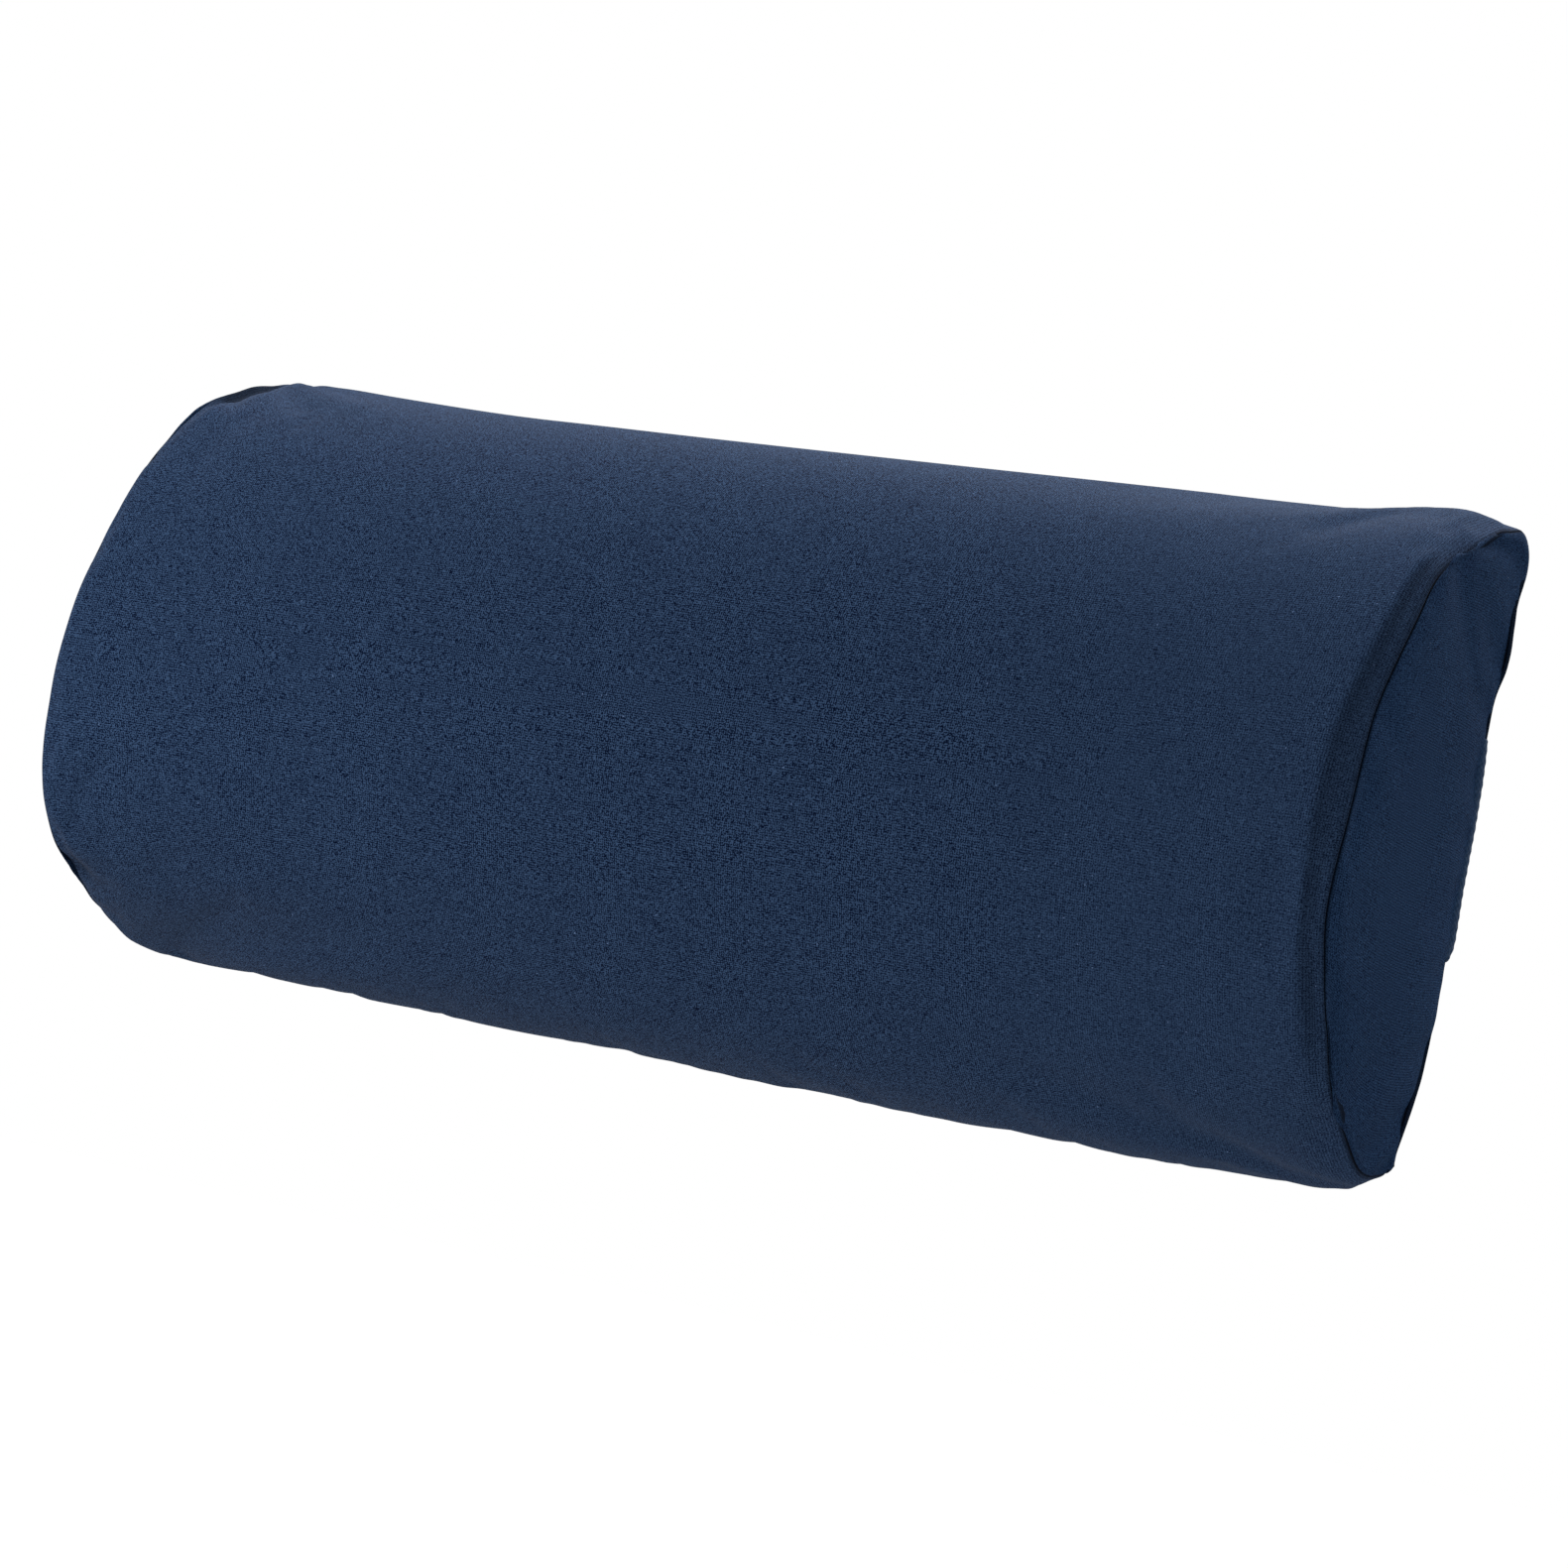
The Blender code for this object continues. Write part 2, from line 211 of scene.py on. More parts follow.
def configure(thing, **settings):
    """The same thing with some of its properties set."""
    for name, value in settings.items():
        setattr(thing, name, value)
    return thing


def new_mesh(name, points, faces):
    mesh = bpy.data.meshes.new(name)
    mesh.from_pydata([tuple(p) for p in points], [], [tuple(int(k) for k in f) for f in faces])
    return mesh


def add_object(name, data):
    made = bpy.data.objects.new(name, data)
    bpy.context.scene.collection.objects.link(made)
    return made


def weld_grids(crown, back, ends):
    """One list of points for all grids, and each grid's index into it, with shared seam points."""
    points = list(crown.reshape(-1, 3))

    def add_inside(index, grid, rows, columns):
        for row in rows:
            for column in columns:
                index[row, column] = len(points)
                points.append(grid[row, column])

    crown_index = np.arange(crown[:, :, 0].size).reshape(crown.shape[:2])
    back_index = np.zeros(back.shape[:2], int)
    back_index[:, 0] = crown_index[:, -1]
    back_index[:, -1] = crown_index[:, 0]
    add_inside(back_index, back, range(back.shape[0]), range(1, BACK_CELLS))
    end_indices = []
    for row, patch in zip((0, LENGTH_CELLS), ends):
        index = np.full(patch.shape[:2], -1)
        index[:, 0] = back_index[row]
        index[:, -1], index[0], index[-1] = end_sides(crown_index[row])
        add_inside(index, patch, range(1, BACK_CELLS), range(1, SIDE_CELLS))
        end_indices.append(index)
    return np.array(points), crown_index, back_index, end_indices


def grid_faces(index, flip=False):
    """Quads of a grid of indices."""
    a, b, c, d = index[:-1, :-1], index[1:, :-1], index[1:, 1:], index[:-1, 1:]
    quads = np.stack([a, b, c, d], -1).reshape(-1, 4)
    return quads[:, ::-1] if flip else quads


def smooth_noise(count, wave, size):
    """A seeded wandering line of count values, with bumps about wave steps long."""
    knots = rng.normal(0, 1, int(count / wave) + 4)
    at = np.arange(count) / wave + 0.5
    base = at.astype(int)
    t = at - base
    t = t * t * (3 - 2 * t)
    return size * (knots[base] * (1 - t) + knots[base + 1] * t)


def with_normals(points, faces):
    """Each point followed by its outward normal, so panels that meet at a seam share it."""
    corner = points[faces]
    face_normal = np.cross(corner[:, 2] - corner[:, 0], corner[:, 3] - corner[:, 1])
    normal = np.zeros(points.shape)
    for k in range(4):
        np.add.at(normal, faces[:, k], face_normal)
    return np.concatenate([points, unit(normal)], 1)


# How far the end seams wander, and how deep a point of them lies that may wander in depth too.
SEAM_WANDER = 0.00035
OFF_BACK = -0.006
# The cloth simulation: how much too long the cloth beside a seam is, where that starts to fade and how
# far it takes, the most that a point may move, and how far the back is held beside strap and zip.
FULLNESS = 0.012
FULLNESS_START = 0.010
FULLNESS_REACH = 0.030
PUFF_LIMIT = 0.0022
STRAP_HELD = 0.027
ZIP_HELD = 0.0105
PRESSURE = 4
LAST_FRAME = 20
CLOTH_SETTINGS = {
    "quality": 7, "mass": 0.12, "tension_stiffness": 15, "compression_stiffness": 10,
    "shear_stiffness": 5, "bending_stiffness": 0.1, "use_pressure": True,
    "uniform_pressure_force": PRESSURE, "vertex_group_mass": "pin", "vertex_group_shrink": "taut",
    "shrink_min": -FULLNESS, "shrink_max": 0.0,
}


def puffed(start, faces, crown_index, back_index):
    """The cover's points after Blender's cloth has puffed it, with its seams held."""
    cloth_object = add_object("cover_cloth", new_mesh("cover_cloth", start, faces))
    seam = np.unique(np.concatenate([
        crown_index[0], crown_index[-1], crown_index[:, 0], crown_index[:, -1], back_index[0], back_index[-1],
    ]))
    reach = np.abs(start[:, None] - start[seam][None, ::2]).max(2).min(1)
    taut = cloth_object.vertex_groups.new(name="taut")
    for number, distance in enumerate(reach):
        taut.add([number], float(np.clip((distance - FULLNESS_START) / FULLNESS_REACH, 0, 1)), "REPLACE")
    height = start[back_index][:, :, 2]
    held = (abs(height - STRAP_Z) < STRAP_HELD) | (abs(height - ZIP_Z) < ZIP_HELD)
    pin = cloth_object.vertex_groups.new(name="pin")
    pin.add(np.unique(np.concatenate([seam, back_index[held]])).tolist(), 1.0, "REPLACE")
    settings = configure(cloth_object.modifiers.new("Cloth", "CLOTH").settings, **CLOTH_SETTINGS)
    settings.effector_weights.gravity = 0
    scene = bpy.context.scene
    for number in range(1, LAST_FRAME + 1):
        scene.frame_set(number)
    evaluated = cloth_object.evaluated_get(bpy.context.evaluated_depsgraph_get())
    moved = np.zeros(len(start) * 3)
    evaluated.data.vertices.foreach_get("co", moved)
    scene.frame_set(1)
    bpy.data.objects.remove(cloth_object, do_unlink=True)
    shift = moved.reshape(-1, 3) - start
    length = np.linalg.norm(shift, axis=1)
    limit = PUFF_LIMIT * np.tanh(length / PUFF_LIMIT) / np.maximum(length, 1e-9)
    return start + shift * limit[:, None]


def simulate_cover():
    """The whole cover's points and normals, and each grid's index into them."""
    points, crown_index, back_index, end_indices = weld_grids(*start_grids())
    for row, side in ((0, -1), (LENGTH_CELLS, 1)):
        ring = np.concatenate([crown_index[row], back_index[row][1:-1]])
        off_back = points[ring, 1] < OFF_BACK
        for axis, wave, part in ((0, 7, side), (2, 2.4, 1), (1, 6, off_back), (2, 6, 1)):
            points[ring, axis] += smooth_noise(len(ring), wave, SEAM_WANDER) * part
    flipped = [grid_faces(index, flip=True) for index in (crown_index, back_index, end_indices[0])]
    faces = np.concatenate([*flipped, grid_faces(end_indices[1])])
    points = puffed(points, faces, crown_index, back_index)
    return with_normals(points, faces), crown_index, back_index, end_indices


# ---------------- panels from the simulated grid

def cubic(grid, at):
    """Rows of a grid at fractional row numbers, by a smooth curve through its own rows."""
    last = len(grid) - 1
    padded = np.concatenate([[2 * grid[0] - grid[1]], grid, [2 * grid[-1] - grid[-2]]])
    base = np.clip(np.floor(at).astype(int), 0, last - 1)
    t = (at - base).reshape(-1, *([1] * (grid.ndim - 1)))
    p0, p1, p2, p3 = padded[base], padded[base + 1], padded[base + 2], padded[base + 3]
    return 0.5 * (2 * p1 + (p2 - p0) * t + (2 * p0 - 5 * p1 + 4 * p2 - p3) * t ** 2
                  + (3 * p1 - p0 - 3 * p2 + p3) * t ** 3)


def stops_between(length, low_steps, high_steps, step):
    """Distances from 0 to length: close together at chosen ends, about step apart between."""
    low = [d for d in low_steps if d < length / 2]
    high = [length - d for d in high_steps if d < length / 2][::-1]
    inside = np.linspace(low[-1], high[0], max(2, int(round((high[0] - low[-1]) / step)) + 1))[1:-1]
    return np.concatenate([low, inside, high])


def sample(grid, row_steps, column_steps, step=0.0030):
    """The grid again, with rows and columns at the wanted distances from its sides.

    Gives the points, each point's distance along and across the cloth, and each column's number in grid.
    """
    across = running(np.linalg.norm(np.diff(grid[..., :3], axis=0), axis=2).mean(1))
    rows = stops_between(across[-1], *row_steps, step)
    out = cubic(grid, np.interp(rows, across, np.arange(len(across))))
    along = running(np.linalg.norm(np.diff(grid[..., :3], axis=1), axis=2).mean(0))
    columns = stops_between(along[-1], *column_steps, step)
    column_at = np.interp(columns, along, np.arange(len(along)))
    out = cubic(out.transpose(1, 0, 2), column_at).transpose(1, 0, 2)
    u, v = np.meshgrid(rows, columns, indexing="ij")
    return out, u, v, column_at


def roll(distance, radius):
    """How far a rolled edge has dropped at this distance from it: a quarter circle."""
    inside = np.clip(radius - distance, 0, radius)
    return radius - np.sqrt(radius ** 2 - inside ** 2)


def smoothstep(low, high, value):
    """0 below low, 1 above high, and a smooth rise between."""
    t = np.clip((value - low) / (high - low), 0, 1)
    return t * t * (3 - 2 * t)


def window(value, start, full, fade, end):
    """0 outside start and end, 1 between full and fade, and smooth between."""
    return smoothstep(start, full, value) * (1 - smoothstep(fade, end, value))


def bell(distance, width):
    return np.exp(-(distance / width) ** 2)


CLOTH_THICKNESS = 0.0005
# How round a panel's edge is at a seam, how far it sinks there, how wide the painted shade in the seam is,
# and how far the edge turns in under it.
SEAM_RADIUS = 0.0011
SEAM_DEPTH = 0.0006
SEAM_SHADE = 0.0006
TUCK = 0.0016
WELD_WITHIN = 0.000001


def store_cloth(mesh, u, v, painted_shade):
    """Keeps each point's distance along and across its cloth, and how much painted shade darkens it."""
    cloth = mesh.attributes.new("cloth", "FLOAT_VECTOR", "POINT")
    cloth.data.foreach_set("vector", np.stack([u, v, painted_shade], -1).astype(np.float32).ravel())


def weld(mesh, outwards=False):
    """Joins points that lie in the same place and, if asked, turns every face outwards."""
    shape = bmesh.new()
    shape.from_mesh(mesh)
    bmesh.ops.remove_doubles(shape, verts=shape.verts, dist=WELD_WITHIN)
    if outwards:
        bmesh.ops.recalc_face_normals(shape, faces=shape.faces)
    shape.to_mesh(mesh)
    shape.free()


def panel(name, grid, u, v, outward, finish, painted_shade):
    """A cover panel from a grid of points and normals: its edges sink into the seams and turn under.

    Panels that meet share the normals along their seam, so their edges meet in one line.
    """
    normal = unit(grid[..., 3:])
    nearest = np.minimum(np.minimum(u, u.max() - u), np.minimum(v, v.max() - v))
    sink = SEAM_DEPTH * roll(nearest, SEAM_RADIUS) / SEAM_RADIUS
    around = ((1, 1), (1, 1), (0, 0))
    rim = np.pad(np.zeros(u.shape), 1, constant_values=TUCK)[..., None]
    out = np.pad(grid[..., :3] - normal * sink[..., None], around, mode="edge")
    out = out - np.pad(normal, around, mode="edge") * rim
    # Painted shade along each seam, and full painted shade on the turned-under rim.
    painted_shade = np.maximum(painted_shade, bell(nearest, SEAM_SHADE))
    painted_shade = np.pad(painted_shade, 1, constant_values=1.0)
    u = np.pad(u, 1, mode="edge")
    v = np.pad(v, 1, mode="edge")
    faces = grid_faces(np.arange(u.size).reshape(u.shape))
    in_row = u.shape[1] - 1
    corners = (0, in_row - 1, len(faces) - in_row, len(faces) - 1)
    faces = np.delete(faces, corners, axis=0)
    mesh = new_mesh(name, out.reshape(-1, 3), faces)
    store_cloth(mesh, u, v, painted_shade)
    weld(mesh)
    piece = add_object(name, mesh)
    if (np.array([p.normal for p in mesh.polygons]).mean(0) * outward).sum() < 0:
        mesh.flip_normals()
    mesh.shade_smooth()
    configure(piece.modifiers.new("Cloth thickness", "SOLIDIFY"), thickness=CLOTH_THICKNESS, offset=-1.0)
    configure(piece.modifiers.new("Smooth cloth", "SUBSURF"), levels=1, render_levels=1)
    mesh.materials.append(finish)
    return piece


# ---------------- node helpers and materials

def new_material(name):
    """A new material, its node tree, its shader, and math_node for that tree."""
    made = bpy.data.materials.new(name)
    made.use_nodes = True
    tree = made.node_tree
    return made, tree, tree.nodes["Principled BSDF"], partial(math_node, tree)


def set_inputs(tree, node, values):
    """Sets a node's inputs, by name or number, each to a value or to another node's output."""
    for name, value in values.items():
        if isinstance(value, bpy.types.NodeSocket):
            tree.links.new(value, node.inputs[name])
        else:
            node.inputs[name].default_value = value


def new_node(tree, kind, values, **settings):
    """A new node with its settings and its inputs filled in."""
    node = configure(tree.nodes.new("ShaderNode" + kind), **settings)
    set_inputs(tree, node, values)
    return node


def math_node(tree, operation, *values):
    return new_node(tree, "Math", dict(enumerate(values)), operation=operation).outputs[0]


def noise_node(tree, vector, scale, detail=2.0, roughness=0.5):
    values = {"Vector": vector, "Scale": scale, "Detail": detail, "Roughness": roughness}
    return new_node(tree, "TexNoise", values).outputs["Fac"]


def bump_node(tree, height, distance, strength=1.0):
    values = {"Height": height, "Distance": distance, "Strength": strength}
    return new_node(tree, "Bump", values).outputs[0]


def scaled_vector(tree, vector, scale):
    return new_node(tree, "VectorMath", {0: vector, 1: scale}, operation="MULTIPLY").outputs[0]


def mix_colour(tree, factor, first, second):
    first, second = ((*c, 1.0) if isinstance(c, tuple) else c for c in (first, second))
    return new_node(tree, "Mix", {0: factor, 6: first, 7: second}, data_type="RGBA").outputs[2]


def cloth_places(tree):
    """The stored place on the cloth as a vector, and its three parts: along, across and painted shade."""
    place = new_node(tree, "Attribute", {}, attribute_name="cloth").outputs["Vector"]
    return place, new_node(tree, "SeparateXYZ", {0: place}).outputs


def object_place(tree):
    return new_node(tree, "TexCoord", {}).outputs["Object"]


def layered(calc, layer, amount, shade, middle=0.5):
    """The shade with a layer added that leaves it as it is where the layer has its middle value."""
    return calc("MULTIPLY_ADD", layer, amount, calc("SUBTRACT", shade, middle * amount))


# Colours are linear. The darkest and lightest threads are parts of the cloth's own colour.
COVER_COLOUR = (0.0113, 0.0228, 0.0495)
# The end panels' colour: the cover's navy darkened as painted shade, for ends that face away from the light.
SHADED_END_COLOUR = (0.0070, 0.0172, 0.0415)
DARK_THREAD = (0.02, 0.08, 0.20)
LIGHT_THREAD = (2.05, 1.95, 1.80)
SHEEN_TINT = (0.90, 0.80, 0.75, 1.0)
# The weave: the distance between threads, and how much each layer of it lightens or darkens the cloth.
THREAD = 0.00058
THREAD_SHADE = 1.70
THREAD_LEVEL = 0.60
SLUB_STRETCH = 150.0
SLUB_SHADE = 0.40
GRAIN_SCALE = 3200.0
GRAIN_SHADE = 7.8
MOTTLE_SCALE = 30.0
MOTTLE_SHADE = 0.14
FLECK_SCALE = 1600.0
FLECK_LEVEL = 0.84
FLECK_SHARPNESS = 8.0
FLECK_GAIN = 4.0
FLECK_LIFT = 0.05
# The weave fades along the crown, where its nap is brushed flat: from, to, and what is left of it.
NAP_START = 0.03
NAP_END = 0.13
NAP_CONTRAST = 0.32
# How far the painted shade darkens the cloth at most, the part of the cloth's colour that is left in the
# darkest painted shade, and the relief.
CREASE_SHADE = 0.85
PAINTED_SHADE_COLOUR = 0.12
RELIEF = 0.00014


def woven_material(name, colour, thread=THREAD, sheen=0.02, contrast=1.0, smooth_towards=0.0):
    """Plain woven cloth: crossing threads, slubs, small light flecks and soft mottling, with painted shade in
    creases and seams.
    """
    made, tree, shader, calc = new_material(name)
    cloth, (along, across, stored_painted_shade) = cloth_places(tree)
    place = object_place(tree)
    warp_wave = calc("SINE", calc("MULTIPLY", along, pi / thread))
    weft_wave = calc("SINE", calc("MULTIPLY", across, pi / thread))
    crossing = calc("MULTIPLY", warp_wave, weft_wave)
    warp = calc("ADD", calc("ABSOLUTE", warp_wave), crossing)
    weft = calc("SUBTRACT", calc("ABSOLUTE", weft_wave), crossing)
    height = calc("MULTIPLY", calc("MAXIMUM", warp, weft), 0.5)
    warp_slub = noise_node(tree, scaled_vector(tree, cloth, (1 / thread, SLUB_STRETCH, 0.0)), 1.0)
    weft_slub = noise_node(tree, scaled_vector(tree, cloth, (SLUB_STRETCH, 1 / thread, 0.0)), 1.0)
    slubs = calc("ADD", warp_slub, weft_slub)
    grain = noise_node(tree, place, GRAIN_SCALE, 1.5, 0.6)
    mottle = noise_node(tree, place, MOTTLE_SCALE, 4.0, 0.6)
    thread_shade = THREAD_SHADE * contrast
    shade = calc("MULTIPLY_ADD", height, thread_shade, 0.5 - THREAD_LEVEL * thread_shade)
    shade = layered(calc, slubs, SLUB_SHADE * contrast, shade, middle=1.0)
    shade = layered(calc, grain, GRAIN_SHADE * contrast, shade)
    shade = layered(calc, mottle, MOTTLE_SHADE, shade)
    if smooth_towards:
        lengthwise = new_node(tree, "SeparateXYZ", {0: place}).outputs[0]
        nap = new_node(tree, "MapRange", {
            "Value": lengthwise, "From Min": NAP_START, "From Max": smooth_towards,
            "To Min": 1.0, "To Max": NAP_CONTRAST,
        }, interpolation_type="SMOOTHSTEP").outputs[0]
        shade = calc("MULTIPLY_ADD", calc("SUBTRACT", shade, 0.5), nap, 0.5)
    shade.node.use_clamp = True
    dark = tuple(c * part for c, part in zip(colour, DARK_THREAD))
    light = tuple(c * part for c, part in zip(colour, LIGHT_THREAD))
    base = mix_colour(tree, shade, dark, light)
    fleck = noise_node(tree, place, FLECK_SCALE, 0.0)
    fleck = calc("MULTIPLY", calc("SUBTRACT", fleck, FLECK_LEVEL), FLECK_SHARPNESS)
    fleck.node.use_clamp = True
    fleck_colour = tuple(FLECK_GAIN * c + FLECK_LIFT for c in colour)
    base = mix_colour(tree, calc("MULTIPLY", fleck, contrast), base, fleck_colour)
    # Painted shade: the stored value darkens the colour towards a small part of itself.
    painted_shade = calc("MULTIPLY", stored_painted_shade, CREASE_SHADE)
    painted_shade.node.use_clamp = True
    base = mix_colour(tree, painted_shade, base, tuple(PAINTED_SHADE_COLOUR * c for c in colour))
    relief = calc("ADD", height, calc("MULTIPLY", slubs, 0.5))
    set_inputs(tree, shader, {
        "Base Color": base, "Roughness": calc("MULTIPLY_ADD", height, -0.10, 0.98),
        "Specular IOR Level": 0.01, "Sheen Weight": sheen, "Sheen Roughness": 0.40,
        "Sheen Tint": SHEEN_TINT, "Normal": bump_node(tree, relief, RELIEF, strength=0.6),
    })
    return made


# ---------------- the sewn cover

# Distances of the finest rows from a seam: across the crown's ends, and along the other edges.
SEAM_STEPS = [0, 0.0002, 0.0004, 0.0007, 0.0011, 0.0017, 0.0025, 0.0034, 0.0043, 0.0050, 0.0056, 0.0062,
              0.0068, 0.0075, 0.0084, 0.0096, 0.0112, 0.0132]
EDGE_STEPS = SEAM_STEPS[:8] + [0.0048, 0.0066]
CROWN_STEP = 0.0023
# The sunken band beside the right seam: where round the section it starts, is whole, fades and ends,
# its width in millimetres and how dark its painted shade is there, and how soft the edges of its step and of
# its painted shade are.
BAND_REACH = (0.215, 0.255, 0.72, 0.80)
BAND_PLACES = (0.20, 0.26, 0.32, 0.38, 0.45, 0.52, 0.60, 0.68, 0.76)
BAND_WIDTHS = (4.2, 5.8, 5.1, 5.6, 7.0, 6.8, 6.2, 5.0, 3.0)
BAND_SHADES = (0.62, 0.62, 0.58, 0.52, 0.46, 0.44, 0.42, 0.36, 0.16)
BAND_WANDER = 0.0004
BAND_STEP = (-0.0012, 0.0010)
BAND_BLUR = (-0.0007, 0.0008)
# The lip that stands up in the band: its height as a part of the band's depth, how far from the seam it
# is, its width, and the width of the lighter line along it, where the band's painted shade is halved.
LIP = 0.22
LIP_AT = 0.0019
LIP_WIDTH = 0.0008
LIP_LIGHT = 0.0007
# How far from each end seam the crown starts to drop to it, and the curve of that drop.
LEFT_ROLL = 0.009
RIGHT_ROLL = 0.012
ROLL_CURVE = 2.2
# The open fold at the upper left: its reach round the section, the reach from the seam and the depth of
# the pressed crown behind it, and the fold's own place, width, depth, painted shade and the far edge of that
# painted shade.
FOLD_REACH = (0.052, 0.085, 0.16, 0.215)
PRESSED_REACH = (0.0005, 0.0030, 0.007, 0.016)
PRESSED_DEPTH = 0.0026
FOLD_AT = 0.0045
FOLD_WIDTH = 0.0020
FOLD_DEPTH = 0.0013
FOLD_SHADE = 0.90
FOLD_BLUR = (0.0042, 0.0055)
# Puckers in the crown: distance from the left end, place round the section, half-widths along and
# across, and depth, in metres; the last number is how dark the painted shade in it is.
PUCKERS = (
    (0.0045, 0.772, 0.0045, 0.0040, 0.0026, 0.55),
    (0.0020, 0.292, 0.0030, 0.0022, 0.0012, 0.15),
    (0.0020, 0.418, 0.0030, 0.0022, 0.0010, 0.10),
)


def crown_grid(points, crown_index):
    """The crown's fine grid, with its ends dropped to the seams, the sunken band, the fold and the puckers,
    and their painted shade.
    """
    steps = (SEAM_STEPS, SEAM_STEPS), (EDGE_STEPS, EDGE_STEPS)
    grid, u, v, column_at = sample(points[crown_index], *steps, CROWN_STEP)
    place = column_at / CROWN_CELLS
    inward = -cubic(SECTION_NORMALS, column_at)[None]
    tables = np.stack([by_place(table, CROWN_CELLS + 1) for table in (LEFT_DROP, RIGHT_DROP)], 1)
    left_drop, right_drop = cubic(tables, column_at).T[:, None]
    to_left = u
    to_right = u.max() - u
    width = 0.001 * np.interp(place, BAND_PLACES, BAND_WIDTHS) + smooth_noise(u.shape[1], 9, BAND_WANDER)
    width = width[None]
    ridge = 1 - smoothstep(*(width + edge for edge in BAND_STEP), to_right)
    band = ridge * (0.60 + 0.40 * np.clip(1 - to_right / width, 0, 1))
    band = band - LIP * bell(to_right - LIP_AT, LIP_WIDTH)
    banded = window(place, *BAND_REACH)[None]
    rounded = np.clip(1 - to_right / RIGHT_ROLL, 0, 1) ** ROLL_CURVE
    drop = right_drop * (banded * band + (1 - banded) * rounded)
    drop = drop + left_drop * np.clip(1 - to_left / LEFT_ROLL, 0, 1) ** ROLL_CURVE
    # Painted shade stored for the material: dark in the band beside the right seam and halved along its lip,
    # dark in the open fold and in each pucker.
    shade = np.interp(place, BAND_PLACES, BAND_SHADES)[None]
    soft = 1 - smoothstep(*(width + edge for edge in BAND_BLUR), to_right)
    painted_shade = banded * soft * shade * (1 - 0.5 * bell(to_right - LIP_AT, LIP_LIGHT))
    folded = window(place, *FOLD_REACH)[None]
    pressed = PRESSED_DEPTH * window(to_left, *PRESSED_REACH)
    drop = drop + folded * (pressed + FOLD_DEPTH * bell(to_left - FOLD_AT, FOLD_WIDTH))
    painted_shade = np.maximum(painted_shade, FOLD_SHADE * folded * (1 - smoothstep(*FOLD_BLUR, to_left)))
    for along, where, half_along, half_across, depth, dark in PUCKERS:
        pit = bell(to_left - along, half_along) * bell(v - where * v.max(), half_across)
        drop = drop + depth * pit
        painted_shade = painted_shade + dark * pit
    grid[..., 1:3] += inward * drop[..., None]
    return grid, u, v, np.clip(painted_shade, 0, 1)


DROP_ROWS = 5


def dropped_end(points, index, table):
    """An end panel's grid, its edge moved in to where the crown drops to the seam.

    The move fades out within DROP_ROWS of the grid from each edge.
    """
    shift = -SECTION_NORMALS * by_place(table, CROWN_CELLS + 1)[:, None]
    grid = points[index].copy()
    crown_side, low_side, high_side = end_sides(shift)
    rows, columns = index.shape
    a = np.arange(rows)[:, None]
    b = np.arange(columns)[None]
    from_edges = np.stack([columns - 1 - b + 0 * a, a + 0 * b, rows - 1 - a + 0 * b], -1)
    weight = np.clip(1 - from_edges / DROP_ROWS, 0, 1) ** 1.5 + 1e-9
    share = weight ** 4 / (weight ** 4).sum(-1, keepdims=True)
    move = share[..., :1] * crown_side[:, None] + share[..., 1:2] * low_side[None]
    move = move + share[..., 2:] * high_side[None]
    grid[..., 1:3] += move * weight.max(-1)[..., None]
    return grid


def cover_pieces():
    """The five sewn panels of the cover."""
    finishes = {
        "cover_fabric": woven_material("Cover fabric", COVER_COLOUR, smooth_towards=NAP_END),
        # The end panels' fabric is a darker copy of the cover's: painted shade.
        "end_fabric": woven_material("End panel fabric", SHADED_END_COLOUR, sheen=0.0, contrast=0.35),
    }
    points, crown_index, back_index, (left_index, right_index) = simulate_cover()
    back = points[back_index]
    panels = [("crown", (0, -1, 0), "cover_fabric", *crown_grid(points, crown_index))]
    edges = (EDGE_STEPS, EDGE_STEPS)
    for word, outward, slot, strip in (
        ("left_end", (-1, 0, 0), "end_fabric", dropped_end(points, left_index, LEFT_DROP)),
        ("right_end", (1, 0, 0), "end_fabric", dropped_end(points, right_index, RIGHT_DROP)),
        ("lower_back", (0, 1, 0), "cover_fabric", back[:, :LOWER_CELLS + 1]),
        ("upper_back", (0, 1, 0), "cover_fabric", back[:, LOWER_CELLS + SLIT_CELLS:]),
    ):
        panels.append((word, outward, slot, *sample(strip, edges, edges)[:3], 0))
    for word, outward, slot, grid, u, v, painted_shade in panels:
        piece = panel(word + "_cover", grid, u, v, outward, finishes[slot], painted_shade)
        declare(piece, slot, "root", word + "_panel")


# ---------------- plain mesh helpers

def mesh_piece(name, points, faces, finish):
    mesh = new_mesh(name, points, faces)
    mesh.shade_smooth()
    mesh.materials.append(finish)
    return add_object(name, mesh)


def declare(piece, slot, body, *nodes):
    """Hangs a piece on the body it rides on and hides the CAD nodes it stands for; slot is not used."""
    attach(piece, body)
    if nodes:
        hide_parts(*nodes)


def closed_piece(name, points, faces, finish):
    """A piece with its loose caps welded on and every face turned outwards."""
    piece = mesh_piece(name, points, faces, finish)
    weld(piece.data, outwards=True)
    return piece


def tube_faces(rings, sides):
    """Faces of a closed tube whose points are rings one after another."""
    ring = np.arange(sides)
    following = np.roll(ring, -1)
    quads = np.stack([ring, following, following + sides, ring + sides], 1)
    walls = quads[None] + sides * np.arange(rings - 1)[:, None, None]
    return [*walls.reshape(-1, 4), ring[::-1], ring + (rings - 1) * sides]


